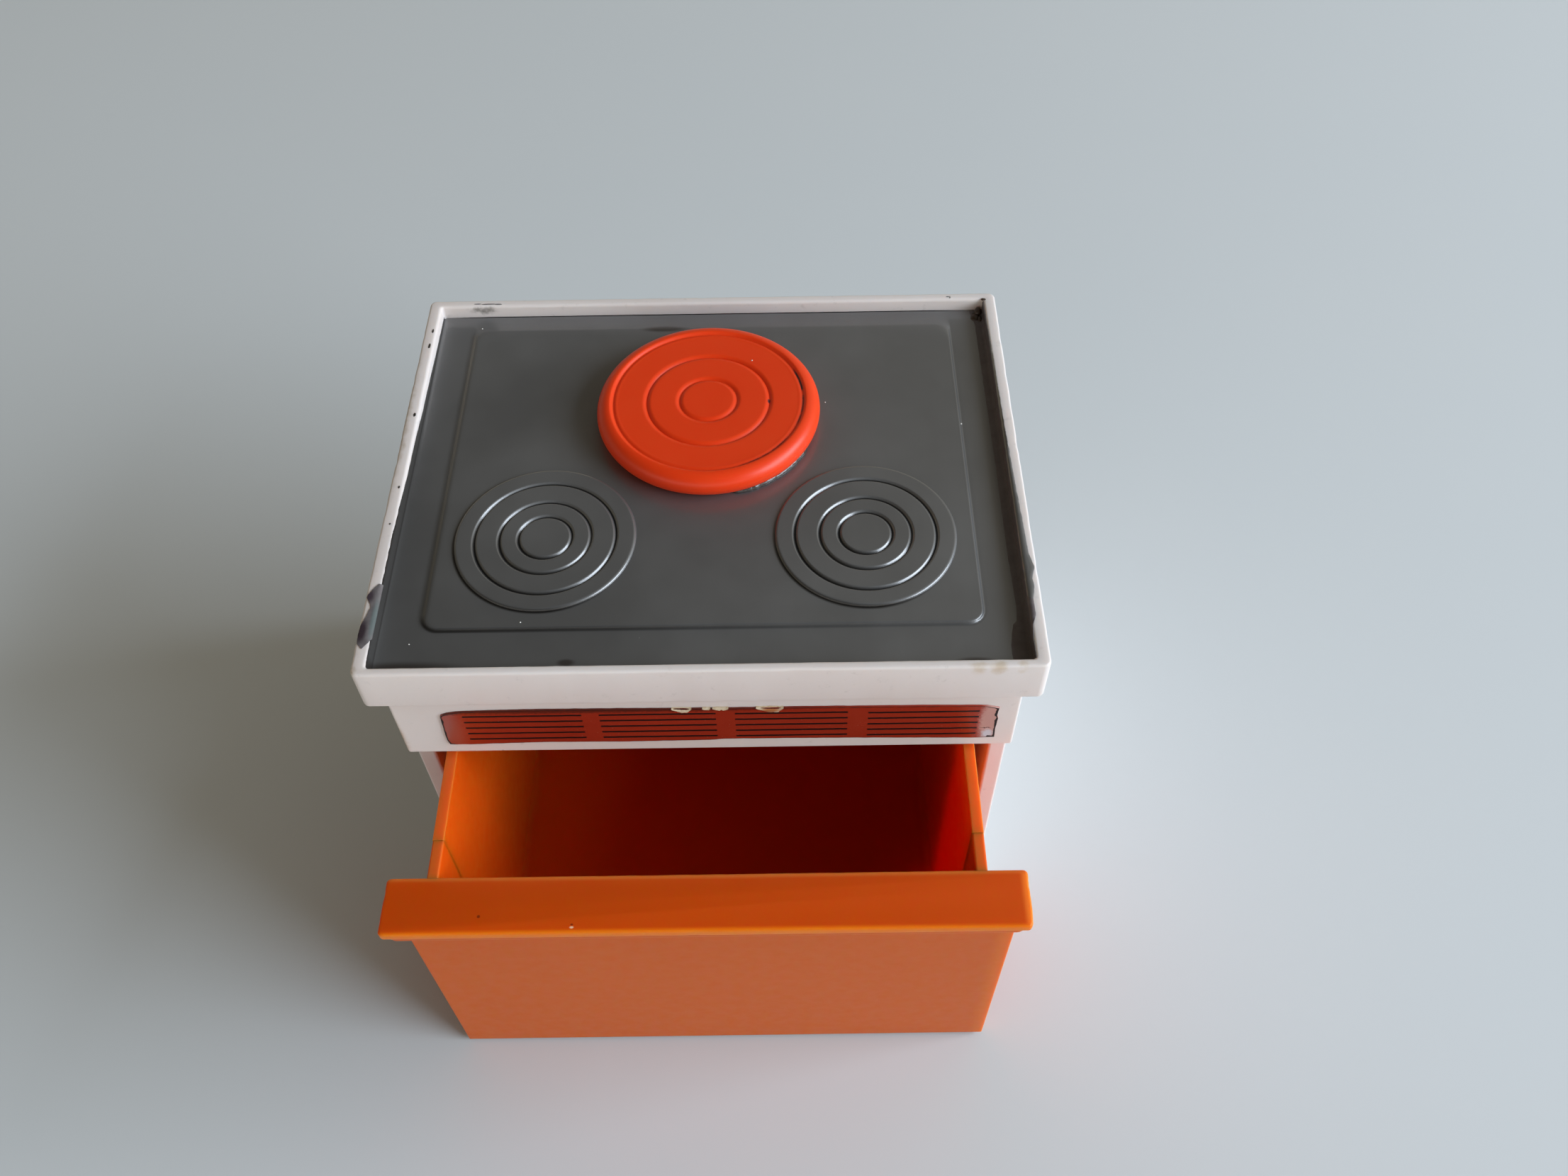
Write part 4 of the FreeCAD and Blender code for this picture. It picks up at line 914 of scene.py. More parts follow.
def orange_red_plastic():
    """Glossy polystyrene, IOR 1.59, dyed right through: a strong orange red with the mould's
    polish, a few rub marks, and dark paint left in part of its outer ring."""
    material, tree, place = new_finish("polystyrene_orange_red")
    centred = add_node(tree, "ShaderNodeMapping", {"Vector": place,
        "Location": (0.0, -DISC_Y * MM, 0.0)})
    colour, drift = mottled(tree, place, 6, "#e63b10", "#eb4313", 0.0, 1.0)
    flat = add_node(tree, "ShaderNodeVectorMath", (centred, (1.0, 1.0, 0.0)), operation="MULTIPLY")
    radius = add_node(tree, "ShaderNodeVectorMath", (flat,), out="Value", operation="LENGTH")
    # Dark paint lies in three stretches of the outer ring, by angle from its right side.
    in_ring = band_round(tree, radius, PAINTED_RING * MM, 0.06 * MM, 0.16 * MM)
    spot = add_node(tree, "ShaderNodeSeparateXYZ", (centred,)).node.outputs
    turn = add_node(tree, "ShaderNodeMath", (spot["Y"], spot["X"]), operation="ARCTAN2")
    turn = add_node(tree, "ShaderNodeMath", (turn,), operation="DEGREES")
    patchy = add_node(tree, "ShaderNodeTexNoise", {"Vector": place, "Scale": per_mm(1.4),
        "Detail": 3.0})
    patchy = add_node(tree, "ShaderNodeMapRange", {"Value": patchy, "From Min": 0.35,
        "From Max": 0.5})
    for middle, reach, strength in ((11.0, 15.0, 0.95), (-12.0, 10.0, 0.6), (-52.0, 18.0, 0.6)):
        share = band_round(tree, turn, middle, reach * 0.75, reach * 1.1, strength)
        share = add_node(tree, "ShaderNodeMath", (share, in_ring), operation="MULTIPLY")
        share = add_node(tree, "ShaderNodeMath", (share, patchy), operation="MULTIPLY")
        colour = add_node(tree, "ShaderNodeMix", {MIX_SHARE: share, MIX_FIRST: colour,
            MIX_SECOND: linear("#2c2228")}, out=MIX_RESULT, data_type="RGBA")
    colour = soft_tint(tree, place, colour, "#4a2430", (6.99, 8.28, 62.7), (0.16, 0.3, 0.4), 0.4)
    gloss = add_node(tree, "ShaderNodeMapRange", {"Value": drift, "From Min": 0.3, "From Max": 0.7,
        "To Min": 0.32, "To Max": 0.42})
    peel = add_node(tree, "ShaderNodeTexNoise", {"Vector": place, "Scale": per_mm(1.1),
        "Detail": 2.0})
    skin = add_node(tree, "ShaderNodeBump", {"Height": peel, "Strength": 0.2, "Distance": 0.00004})
    lay_finish(tree, {"Base Color": colour, "Roughness": gloss, "IOR": 1.59, "Normal": skin,
                      "Specular IOR Level": 0.26, "Subsurface Weight": 0.35,
                      "Subsurface Radius": (1.0, 0.25, 0.08),
                      "Subsurface Scale": 0.0008})
    return material


disc_plastic = orange_red_plastic()
disc = grow("round_plate", turned_tree("turned_round_plate", disc_plastic), {
    "Radius": DISC_RADIUS * MM, "Rim rounding": DISC_THICKNESS / 2 * MM, "Rim turn": math.pi,
    "Top Z": DISC_TOP_Z * MM, "Dish": 0.25 * MM, "Ring width": 1.1 * MM, "Ring depth": 0.25 * MM,
    "Ring softness": 2.0, "Outer ring": DISC_RINGS[0] * MM, "Middle ring": DISC_RINGS[1] * MM,
    "Inner ring": DISC_RINGS[2] * MM,
    "Steps out": 200, "Steps round": 161, "Count of plates": 1, "Pitch": 0.0,
    "First X": 0.0, "Row Y": DISC_Y * MM}, sharp=70)
on_body(disc, "cabinet", "disc_orange", "hotplate_disc")


def clear_glue():
    """Clear glue that squeezed out and dried, IOR 1.5: glassy, with tiny bubbles in it."""
    material, tree, place = new_finish("glue_clear_dried")
    bubbles = add_node(tree, "ShaderNodeTexNoise", {"Vector": place, "Scale": per_mm(0.35),
        "Detail": 3.0})
    rough = add_node(tree, "ShaderNodeBump", {"Height": bubbles, "Strength": 0.35,
        "Distance": 0.0001})
    gloss = add_node(tree, "ShaderNodeMapRange", {"Value": bubbles, "To Min": 0.05, "To Max": 0.25})
    lay_finish(tree, {"Base Color": linear("#6f6966"), "Roughness": gloss, "IOR": 1.5,
                      "Transmission Weight": 0.7, "Normal": rough})
    return material


GLUE_FROM, GLUE_TO = -76.0, -22.0  # degrees round the plate, from its right side


def fillet_section(degrees):
    """The glue's cross-section at an angle round the plate, from the hob to under its rim."""
    turn = math.radians(degrees)
    ends = min(1.0, (degrees - GLUE_FROM) / 8, (GLUE_TO - degrees) / 8)
    ragged = waver(turn * 9, 2.0, 0) + 0.6 * waver(turn * 30, 5.0, 0)
    out = DISC_RADIUS - 0.75 + 0.5 * max(0.0, ends) ** 0.5 + 0.12 * ragged
    profile = [(11.3, 60.06), (out, 60.06), (out + 0.05, 60.16), (out + 0.02, 60.34),
               (out - 0.1, 60.52), (out - 0.3, 60.66), (11.3, 60.6)]
    return [(r * math.cos(turn), DISC_Y + r * math.sin(turn), z) for r, z in profile]


fillet = film_strip([fillet_section(GLUE_FROM + 0.75 * i) for i in range(73)])
on_body(solid("glue_under_plate", *fillet, clear_glue(), sharp=80), "cabinet", "disc_orange")


# Printed label. A strip of card with a glossy film, cut out by hand along its inked outline
# and stuck on the front panel; rows of black bars are printed on it as air slots.

LABEL_OUTLINE = [
    (-28.2, 46.0), (-26.0, 45.95), (-17.9, 46.2), (-8.9, 46.06), (-0.2, 46.15), (1.8, 46.35),
    (8.9, 46.3), (16.1, 46.19), (23.2, 46.0), (28.6, 45.85), (31.05, 45.95), (31.0, 47.5),
    (31.07, 49.7), (30.9, 50.35), (31.02, 51.75), (29.7, 52.17), (22.8, 52.35), (9.0, 52.46),
    (2.1, 52.42), (-10.9, 52.58), (-18.6, 52.62), (-24.1, 52.53), (-26.4, 52.38), (-27.4, 52.16),
    (-28.05, 51.78), (-28.15, 51.4), (-28.3, 48.8), (-28.36, 46.8)]
LABEL_MIDDLE_X, LABEL_MIDDLE_Z, LABEL_HALF_X, LABEL_HALF_Z = 1.35, 49.25, 29.7, 3.3
LABEL_BACK_Y, LABEL_FACE_Y = -26.5, -26.7
SLOT_ROWS = ((-25.8, -13.2, 47.08), (-11.35, 1.0, 47.07),  # left, right and lowest bar
             (3.04, 15.0, 46.98), (17.16, 28.96, 46.8))
SLOT_COUNT, SLOT_PITCH, SLOT_HEIGHT, SLOT_DEPTH, SLOT_WAVER = 5, 1.115, 0.27, 0.06, 0.1


def printed_card():
    """Offset-printed card under a glossy film, IOR 1.5: a flat red brown, made paler at its
    ends by painted sheen, with fine dots of missing ink."""
    material, tree, place = new_finish("card_printed_red_brown")
    colour, drift = mottled(tree, place, 5, "#8e2918", "#9c311d", 0.0, 1.0)
    dots = add_node(tree, "ShaderNodeTexNoise", {"Vector": place, "Scale": per_mm(0.25),
        "Detail": 3.0})
    bare = add_node(tree, "ShaderNodeMapRange", {"Value": dots, "From Min": 0.66, "From Max": 0.76,
        "To Max": 0.3})
    colour = add_node(tree, "ShaderNodeMix", {MIX_SHARE: bare, MIX_FIRST: colour,
        MIX_SECOND: linear("#b77a66")}, out=MIX_RESULT, data_type="RGBA")
    uneven = add_node(tree, "ShaderNodeVectorMath", (dots.node.outputs["Color"],
        (0.0006, 0.0006, 0.0006), place), operation="MULTIPLY_ADD")
    # The first two spots make the card's ends paler: painted sheen, for the glare off its film there.
    for tint, centre, reach, softness in (
            ("#9a4a3c", (-27.6, LABEL_FACE_Y, 49.5), (1.6, 4.0, 4.0), 0.7),
            ("#bd8c82", (30.6, LABEL_FACE_Y, 49.4), (1.15, 4.0, 4.2), 0.35),
            ("#c8c4cc", (30.5, LABEL_FACE_Y, 47.0), (0.55, 4.0, 0.8), 0.5),
            ("#40201c", (30.2, LABEL_FACE_Y, 48.2), (0.5, 4.0, 0.09), 0.5),
            ("#5a241a", (-12.0, LABEL_FACE_Y, 52.75), (22.0, 4.0, 0.45), 0.6),
            ("#5a241a", (-28.3, LABEL_FACE_Y, 52.5), (1.8, 4.0, 0.35), 0.6)):
        colour = soft_tint(tree, uneven, colour, tint, centre, reach, softness)
    gloss = add_node(tree, "ShaderNodeMapRange", {"Value": drift, "To Min": 0.2, "To Max": 0.3})
    film = add_node(tree, "ShaderNodeBump", {"Height": drift, "Strength": 0.4, "Distance": 0.0002})
    lay_finish(tree, {"Base Color": colour, "Roughness": gloss, "IOR": 1.5, "Normal": film})
    return material


def black_ink():
    """Printer's ink and a black pen line: nearly black brown, dull, broken up a little."""
    material, tree, place = new_finish("ink_black")
    colour, _ = mottled(tree, place, 0.3, "#0b0708", "#351512", 0.6, 0.85)
    lay_finish(tree, {"Base Color": colour, "Roughness": 0.5, "IOR": 1.5,
                      "Specular IOR Level": 0.3})
    return material


card = printed_card()
ink = black_ink()

outline = []
for (x0, z0), (x1, z1) in zip(LABEL_OUTLINE, LABEL_OUTLINE[1:] + LABEL_OUTLINE[:1]):
    steps = max(2, round(math.dist((x0, z0), (x1, z1)) / 0.4))
    outline += [(x0 + (x1 - x0) * i / steps, z0 + (z1 - z0) * i / steps) for i in range(steps)]


def label_loop(y, inset):
    """The label's cut outline, drawn in by an amount that follows the place along it."""
    loop = []
    for x, z in outline:
        shake = 0.05 * waver(x / 1.1, z / 1.1, 2.0) + inset(x, z)
        loop.append((x - (x - LABEL_MIDDLE_X) * shake / LABEL_HALF_X, y,
                     z - (z - LABEL_MIDDLE_Z) * shake / LABEL_HALF_Z))
    return loop


def pen_line(x, z):
    """How wide the pen line along the cut is: widest at the right, nearly gone below."""
    wide = 0.15 if x < -27.8 else 0.27 if x > 30.6 else 0.09 if z > LABEL_MIDDLE_Z else 0.06
    return wide * (1 + 0.9 * waver(x / 0.7, z / 0.7, 6.0))


label_loops = [label_loop(y, inset) for y, inset in (
    (LABEL_BACK_Y + 0.05, lambda x, z: 0.0), (LABEL_FACE_Y + 0.04, lambda x, z: 0.0),
    (LABEL_FACE_Y, lambda x, z: 0.03), (LABEL_FACE_Y, lambda x, z: 0.03 + pen_line(x, z)))]
label_points, label_faces = loft(label_loops)
label = solid("grille_card", label_points, label_faces, card, sharp=40)
label.data.materials.append(ink)
for face in label.data.polygons:
    drawn = all(abs(label.data.vertices[v].co.y - LABEL_FACE_Y * MM) < 1e-6 for v in face.vertices)
    if drawn and len(face.vertices) == 4:
        face.material_index = 1
on_body(label, "cabinet", "printed_card", "grille_label")

slot_tree = bar_tree("slot_rows", ink)
for number, (left, right, low) in enumerate(SLOT_ROWS):
    slots = grow(f"printed_slots_{number + 1}", slot_tree, {
        "Count of groups": 1, "Group pitch": 0.0, "Count of bars": SLOT_COUNT,
        "Bar pitch back": 0.0, "Bar pitch up": SLOT_PITCH * MM,
        "Width": (right - left) * MM, "Depth": SLOT_DEPTH * MM, "Height": SLOT_HEIGHT * MM,
        "First X": (left + right) / 2 * MM, "First Y": (LABEL_FACE_Y + 0.015) * MM,
        "First Z": low * MM, "Steps along": 40, "Unevenness": SLOT_WAVER * MM, "Seed": 3 + number})
    on_body(slots, "cabinet", "printed_card")


# Torn paper. Scraps of an older label hang over the strip's top edge, cream paper with a
# torn, slightly curled edge.

def cream_paper():
    """Uncoated paper gone yellow, IOR 1.45: matt cream with brown at its torn edge."""
    material, tree, place = new_finish("paper_torn_cream")
    colour, _ = mottled(tree, place, 0.35, "#dccfb6", "#b59a72", 0.25, 0.8)
    colour = soft_tint(tree, place, colour, "#a8683a", (6.8, -26.75, 52.1), (1.0, 1.0, 0.35), 0.6)
    lay_finish(tree, {"Base Color": colour, "Roughness": 0.85, "IOR": 1.45})
    return material


SCRAP_ROOT_Z = 52.5


def torn_scrap(left, right, low, seed):
    """A thin flat scrap from the panel over the label's top edge down to a torn end."""
    columns = max(5, round((right - left) / 0.18))
    sections = []
    for i in range(columns + 1):
        share = i / columns
        x = left + (right - left) * share
        hang = min(1.0, share / 0.55, (1 - share) / 0.25) ** 0.8
        tear = 0.35 * waver(x / 0.3, seed, 0)
        end = SCRAP_ROOT_Z - (SCRAP_ROOT_Z - low + tear) * max(hang, 0.05)
        top = SCRAP_ROOT_Z + 0.06 + 0.08 * waver(x / 0.5, seed, 5)
        middle = (top + end) / 2
        front = [(top, -26.55), (middle, -26.76), (end + 0.03, -26.8), (end, -26.77)]
        back = [(end + 0.02, -26.68), (middle, -26.66), (top, -26.45)]
        sections.append([(x, y, z) for z, y in front + back])
    return film_strip(sections)


scraps = [torn_scrap(-3.6, -1.5, 51.85, 1.0), torn_scrap(-0.35, 0.5, 52.3, 2.0),
          torn_scrap(0.7, 2.4, 52.2, 3.0), torn_scrap(5.3, 8.2, 51.7, 4.0)]
on_body(solid("torn_paper", *gather(scraps), cream_paper(), sharp=60), "cabinet", "printed_card")


# Drawer tub. A deep drafted box in translucent orange polystyrene: two sides, a floor and a
# back, open at the front where the drawer front's cheeks are glued on.

DRAWER_Y = -41.2  # back face of the drawer front
TUB_FRONT_Y, TUB_BACK_Y = -36.9, 7.0
TUB_X, TUB_RIM_Z, TUB_BOTTOM_Z = 29.2, 43.5, 2.6
TUB_WALL, TUB_FLOOR, TUB_ROUNDING = 1.25, 1.5, 0.2
TUB_DRAFT = math.radians(0.5)
LUG_START_Y, LUG_END_Y, LUG_TOP_Z = 1.0, 5.5, 45.0


def orange_polystyrene(name, dull, bright, depth, rim_z=None, marks_and_painted_light=()):
    """Translucent orange polystyrene, IOR 1.59: light goes a millimetre or two into it and
    spreads, so thin edges turn yellower where they are lit and hollows turn deep red. Its
    faces are moulded smooth and have a fine haze of handling marks. The top edge at the rim
    is tinted paler as painted light, and each part is given its own colour and spots, some of
    them painted light and shade."""
    material, tree, place = new_finish(name)
    colour, _ = mottled(tree, place, 9, dull, bright, 0.0, 1.0)
    for tint, centre, reach, softness in marks_and_painted_light:
        colour = soft_tint(tree, place, colour, tint, centre, reach, softness)
    # Painted light: the top edge at the rim turns paler yellow orange, for the glow of the thin lit
    # rim.
    if rim_z is not None:
        height = add_node(tree, "ShaderNodeSeparateXYZ", (place,), out="Z")
        rubbed = add_node(tree, "ShaderNodeMapRange", {"Value": height,
            "From Min": (rim_z - 0.25) * MM, "From Max": rim_z * MM, "To Max": 0.5})
        colour = add_node(tree, "ShaderNodeMix", {MIX_SHARE: rubbed, MIX_FIRST: colour,
            MIX_SECOND: linear("#b9732e")}, out=MIX_RESULT, data_type="RGBA")
    haze = add_node(tree, "ShaderNodeTexNoise", {"Vector": place, "Scale": per_mm(1.6),
        "Detail": 5.0})
    gloss = add_node(tree, "ShaderNodeMapRange", {"Value": haze, "From Min": 0.3, "From Max": 0.7,
        "To Min": 0.3, "To Max": 0.42})
    skin = add_node(tree, "ShaderNodeBump", {"Height": haze, "Strength": 0.2, "Distance": 0.00005})
    lay_finish(tree, {"Base Color": colour, "Roughness": gloss, "IOR": 1.59, "Normal": skin,
                      "Specular IOR Level": 0.15, "Subsurface Weight": 1.0,
                      "Subsurface Radius": (1.0, 0.36, 0.14), "Subsurface Scale": depth * MM})
    return material


# The tub's colour is set deeper red than the front's: painted shade, for the light lost inside the
# drawer.
tub_plastic = orange_polystyrene("polystyrene_orange_tub", "#ea560a", "#ee5b0c", 3.6, 43.45)


def tub_half_width(z):
    """Half the drawer's outer width at a height: its sides lean out towards the rim."""
    return TUB_X - (TUB_RIM_Z - z) * math.tan(TUB_DRAFT)


def u_section(rim, outer_corner=1.5, inner_corner=1.0, steps=6):
    """The tub's outer and inner outline in the XZ plane, left rim to right rim."""
    def path(half_at, floor, corner):
        points = [(-half_at(rim), rim)]
        half = half_at(floor + corner)
        for i in range(steps + 1):
            turn = math.radians(180 + 90 * i / steps)
            points.append((-half + corner + corner * math.cos(turn),
                           floor + corner + corner * math.sin(turn)))
        return points + [(-x, z) for x, z in reversed(points)]
    return (path(tub_half_width, TUB_BOTTOM_Z, outer_corner),
            path(lambda z: tub_half_width(z) - TUB_WALL, TUB_BOTTOM_Z + TUB_FLOOR, inner_corner))


def strip_faces(rows, count):
    """Faces between rows of points that each have the same count, left open at the sides."""
    return [(r * count + i, r * count + i + 1, (r + 1) * count + i + 1, (r + 1) * count + i)
            for r in range(rows - 1) for i in range(count - 1)]


outer_path, inner_path = u_section(TUB_RIM_Z)
count = len(outer_path)
inner_back_y = TUB_BACK_Y - TUB_WALL
outer_rows = (TUB_FRONT_Y, LUG_START_Y, LUG_END_Y, TUB_BACK_Y)
inner_rows = (TUB_FRONT_Y, LUG_START_Y, LUG_END_Y, inner_back_y)
tub_points = [(x, y, z) for y in outer_rows for x, z in outer_path]
tub_points += [(x, y, z) for y in inner_rows for x, z in inner_path]
inner_start = len(outer_rows) * count
tub_faces = strip_faces(4, count)
tub_faces += [tuple(inner_start + i for i in face) for face in strip_faces(4, count)]
tub_faces.append(tuple(range(count)) + tuple(reversed(range(inner_start, inner_start + count))))
tub_faces.append(tuple(range(3 * count, 4 * count)))
tub_faces.append(tuple(inner_start + 3 * count + i for i in range(count)))
left, right = 0, count - 1
for end in (left, right):
    tub_faces.append((end, count + end, inner_start + count + end, inner_start + end))
    lug = len(tub_points)
    foot = (count + end, 2 * count + end,
            inner_start + 2 * count + end, inner_start + count + end)
    for index in foot:
        x, y, _ = tub_points[index]
        tub_points.append((x, y, LUG_TOP_Z))
    tub_faces.append((lug, lug + 1, lug + 2, lug + 3))
    tub_faces += [(foot[i], foot[(i + 1) % 4], lug + (i + 1) % 4, lug + i) for i in range(4)]
tub_faces.append((2 * count + left, 3 * count + left, 3 * count + right, 2 * count + right,
                  inner_start + 2 * count + right, inner_start + 3 * count + right,
                  inner_start + 3 * count + left, inner_start + 2 * count + left))
tub = solid("drawer_tub_moulding", tub_points, tub_faces, tub_plastic)
round_over(tub, TUB_ROUNDING, angle=40, flush_y=TUB_FRONT_Y)
on_body(tub, "drawer", "drawer_orange", "drawer_tub")


# Drawer front. The panel, the lip under the pull and the collar of two short cheeks are one
# moulding of the same orange plastic as the tub, coloured yellower as painted light; the panel
# narrows a little towards its foot.

# Painted light: the front's colour is yellower, for light shining through the thin panel, and a
# yellower glow lies along the panel's right edge; painted shade: the cheeks take the tub's red.
front_plastic = orange_polystyrene("polystyrene_orange_front", "#c65a08", "#c85c09", 1.6, 43.4, [
    ("#e6560b", (0.0, -30.0, 25.0), (900.0, 11.0, 900.0), 0.04),
    ("#d0680c", (33.0, -43.0, 21.0), (1.5, 2.5, 60.0), 0.6),
])

PANEL_FRONT_Y = DRAWER_Y - 2.0
PANEL_MIDDLE_Y = DRAWER_Y - 1.0  # where the lip and the collar start
PANEL_FOOT_X, PANEL_HEAD_X, PANEL_FOOT_Z, LIP_TOP_Z = 32.85, 33.25, 0.5, 42.3
LIP_X, LIP_FRONT_Y, LIP_BOTTOM_Z, LIP_CORNER = 32.8, -47.2, 41.2, 1.0
CHEEK_RIM_Z = 43.4
FRONT_ROUNDING = 0.28


def join_solids(name, pieces, material):
    """Unite closed pieces that overlap into one closed mesh."""
    body = pieces[0]
    for other in pieces[1:]:
        union = body.modifiers.new("union", "BOOLEAN")
        union.operation = "UNION"
        union.solver = "EXACT"
        union.object = other
    bpy.context.view_layer.update()
    shaped = body.evaluated_get(bpy.context.evaluated_depsgraph_get())
    mesh = bpy.data.meshes.new_from_object(shaped)
    mesh.name = name
    for piece in pieces:
        bpy.data.objects.remove(piece)
    joined = bpy.data.objects.new(name, mesh)
    bpy.context.collection.objects.link(joined)
    clean_mesh(mesh, 0.5, material)
    return joined


panel_points = [(side * half, y, z) for y in (PANEL_FRONT_Y, DRAWER_Y)
                for half, z in ((PANEL_FOOT_X, PANEL_FOOT_Z), (PANEL_HEAD_X, LIP_TOP_Z))
                for side in (-1, 1)]
panel_faces = [(0, 1, 3, 2), (5, 4, 6, 7), (4, 0, 2, 6), (1, 5, 7, 3), (2, 3, 7, 6), (4, 5, 1, 0)]
panel = solid("panel", panel_points, panel_faces, front_plastic)

lip_outline = [(LIP_X, PANEL_MIDDLE_Y), (-LIP_X, PANEL_MIDDLE_Y)]
for side, start in ((-1, 180), (1, 270)):
    centre = (side * (LIP_X - LIP_CORNER), LIP_FRONT_Y + LIP_CORNER)
    for i in range(7):
        turn = math.radians(start + 15 * i)
        lip_outline.append((centre[0] + LIP_CORNER * math.cos(turn),
                            centre[1] + LIP_CORNER * math.sin(turn)))
lip = solid("lip", *loft([[(x, y, z) for x, y in lip_outline] for z in (LIP_BOTTOM_Z, LIP_TOP_Z)]),
            front_plastic)

cheek_outer, cheek_inner = u_section(CHEEK_RIM_Z)
cheek_loop = cheek_outer + list(reversed(cheek_inner))
collar = solid("collar", *loft([[(x, y, z) for x, z in cheek_loop]
                                for y in (PANEL_MIDDLE_Y, TUB_FRONT_Y)]), front_plastic)

front = join_solids("drawer_front_moulding", [panel, lip, collar], front_plastic)
round_over(front, FRONT_ROUNDING, angle=40, flush_y=TUB_FRONT_Y)
on_body(front, "drawer", "drawer_orange", "drawer_front")


# Pull. A flat orange strip glued on top of the drawer front and sticking out over the lip;
# its long edges are slightly wavy and its right end bulges, as a hand-trimmed piece does.

PULL_X, PULL_FRONT_Y, PULL_BOTTOM_Z, PULL_TOP_Z = 33.3, -47.5, 42.3, 43.5
PULL_EDGE, PULL_CORNER, PULL_WAVER = 0.26, 0.5, 0.1

# Painted light: the pull has its own copy of the orange, and its first three spots are yellower glows
# at its right end and along its front and back top edges, for light through the thin strip.
pull_plastic = orange_polystyrene("polystyrene_orange_pull", "#cf4f07", "#d45409", 1.5, marks_and_painted_light=[
    ("#e8862a", (33.4, -44.3, 43.0), (0.8, 9.0, 3.0), 0.5),
    ("#d97229", (0.0, -41.2, 43.5), (60.0, 0.5, 3.0), 0.4),
    ("#de780c", (0.0, -47.6, 42.7), (60.0, 0.5, 2.0), 0.4),
    ("#8a2c08", (-23.2, -45.6, 43.5), (0.16, 0.16, 0.5), 0.4),
    ("#efc9a4", (-13.6, -46.9, 43.5), (0.2, 0.12, 0.5), 0.4),
    ("#8a2c08", (-13.6, -46.6, 43.5), (0.14, 0.1, 0.5), 0.4),
])

pull_edge = quarter(PULL_EDGE)
pull_loops = [(inset, PULL_BOTTOM_Z + rise) for inset, rise in pull_edge]
pull_loops += [(inset, PULL_TOP_Z - rise) for inset, rise in reversed(pull_edge)]
pull = solid("drawer_pull_strip", *loft([
    loop_round(inset - PULL_X, PULL_X - inset, PULL_FRONT_Y + inset, DRAWER_Y - inset,
               PULL_CORNER, z, PULL_WAVER, 5.0) for inset, z in pull_loops]), pull_plastic, sharp=50)
on_body(pull, "drawer", "drawer_orange", "drawer_pull")


# Floor. A plain pale table top that the unit stands on, with a faint cool tone.

FLOOR_HALF, FLOOR_DEPTH = 1600.0, 20.0


def pale_table():
    """A painted table top: cool pale grey, satin, with hardly any mottling."""
    material, tree, place = new_finish("table_pale")
    mottle = add_node(tree, "ShaderNodeTexNoise", {"Vector": place, "Scale": per_mm(60),
        "Detail": 3.0})
    colour = add_node(tree, "ShaderNodeMix", {MIX_SHARE: mottle, MIX_FIRST: linear("#d2d8db"),
        MIX_SECOND: linear("#d5dadc")}, out=MIX_RESULT, data_type="RGBA")
    lay_finish(tree, {"Base Color": colour, "Roughness": 0.5, "IOR": 1.45,
                      "Specular IOR Level": 0.3})
    return material


floor_corners = [(-FLOOR_HALF, -FLOOR_HALF), (FLOOR_HALF, -FLOOR_HALF),
                 (FLOOR_HALF, FLOOR_HALF), (-FLOOR_HALF, FLOOR_HALF)]
floor = solid("table_top", [(x, y, z) for z in (0.0, -FLOOR_DEPTH) for x, y in floor_corners],
              [(0, 1, 2, 3), (7, 6, 5, 4), (0, 4, 5, 1), (1, 5, 6, 2), (2, 6, 7, 3), (3, 7, 4, 0)],
              pale_table())
floor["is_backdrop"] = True


# Light. One wide soft lamp from the right, a little in front, as a window gives, in a room with
# a pale wall in front, duller ones behind and at both sides, and a ceiling that is dim at the
# left and lighter towards the window.

KEY_FROM = Vector((0.845, -0.22, 0.487)).normalized()
KEY_DISTANCE, KEY_WIDTH, KEY_HEIGHT, KEY_POWER = 1.3, 1.1, 0.58, 21.8

key_lamp = bpy.data.lights.new("window_light", "AREA")
key_lamp.shape = "RECTANGLE"
key_lamp.size = KEY_WIDTH
key_lamp.size_y = KEY_HEIGHT
key_lamp.energy = KEY_POWER
key_lamp.color = linear("#e5f1ff")[:3]
key = bpy.data.objects.new("window_light", key_lamp)
key.location = KEY_FROM * KEY_DISTANCE
key.rotation_mode = "QUATERNION"
key.rotation_quaternion = KEY_FROM.to_track_quat("Z", "Y")
bpy.context.collection.objects.link(key)

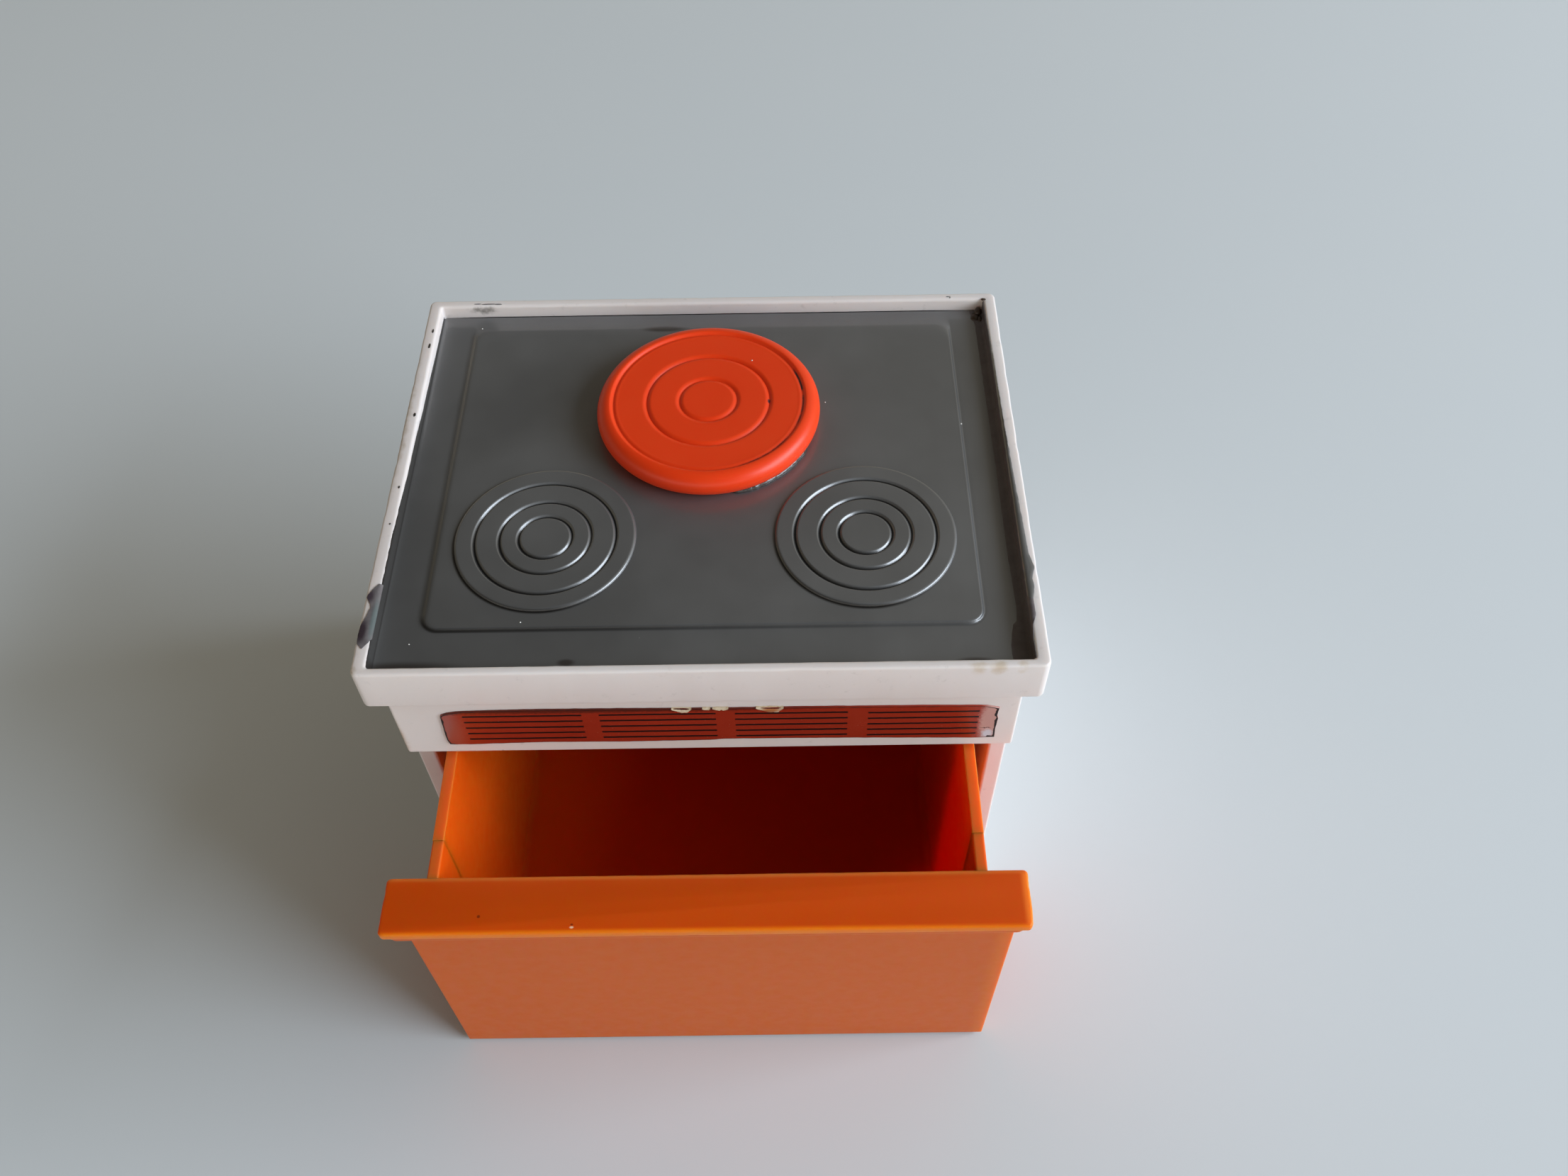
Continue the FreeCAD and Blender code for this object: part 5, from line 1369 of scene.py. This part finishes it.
world = bpy.data.worlds.new("room")
bpy.context.scene.world = world
world.use_nodes = True
room = world.node_tree
room.nodes.clear()
look = add_node(room, "ShaderNodeTexCoord", out="Generated")
forward = add_node(room, "ShaderNodeVectorMath", (look, (0.25, -0.97, 0.0)), out="Value",
    operation="DOT_PRODUCT")
aslant = add_node(room, "ShaderNodeVectorMath", (look, (0.96, 0.28, 0.0)), out="Value",
    operation="DOT_PRODUCT")
look = add_node(room, "ShaderNodeSeparateXYZ", (look,)).node.outputs
frontward = add_node(room, "ShaderNodeMapRange", {"Value": forward, "From Min": -0.2,
    "From Max": 0.8}, interpolation_type="SMOOTHSTEP")
walls = add_node(room, "ShaderNodeMix", {MIX_SHARE: frontward, MIX_FIRST: linear("#a1967d"),
    MIX_SECOND: linear("#fffaf0")}, out=MIX_RESULT, data_type="RGBA")
rightward = add_node(room, "ShaderNodeMapRange", {"Value": aslant, "From Min": 0.0,
    "From Max": 0.65}, interpolation_type="SMOOTHSTEP")
ceiling = add_node(room, "ShaderNodeMix", {MIX_SHARE: rightward, MIX_FIRST: linear("#423d34"),
    MIX_SECOND: linear("#a39e93")}, out=MIX_RESULT, data_type="RGBA")
upward = add_node(room, "ShaderNodeMapRange", {"Value": look["Z"], "From Min": 0.24,
    "From Max": 0.46}, interpolation_type="SMOOTHSTEP")
room_colour = add_node(room, "ShaderNodeMix", {MIX_SHARE: upward, MIX_FIRST: walls,
    MIX_SECOND: ceiling}, out=MIX_RESULT, data_type="RGBA")
air = add_node(room, "ShaderNodeBackground", {"Color": room_colour, "Strength": 1.4})
add_node(room, "ShaderNodeOutputWorld", {"Surface": air})
bpy.context.scene.view_settings.view_transform = "Standard"


# Camera. Where the photograph was taken from: above and in front, looking down at the unit
# at about 53 degrees, with a very slight tilt of the hand.

EYE = Vector((8.792, -103.414, 173.421)) * MM
AIM = Vector((8.240, 29.291, 0.0)) * MM
ROLL_DEGREES = 1.029

camera_data = bpy.data.cameras.new("photo_camera")
camera_data.sensor_width = 36
camera_data.lens = 31.167
camera_data.clip_start = 0.005
camera_data.clip_end = 20
camera = bpy.data.objects.new("photo_camera", camera_data)
camera.location = EYE
camera.rotation_mode = "QUATERNION"
camera.rotation_quaternion = ((AIM - EYE).to_track_quat("-Z", "Y")
                              @ Quaternion((0, 0, 1), math.radians(-ROLL_DEGREES)))
bpy.context.collection.objects.link(camera)
bpy.context.scene.camera = camera

low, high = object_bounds()
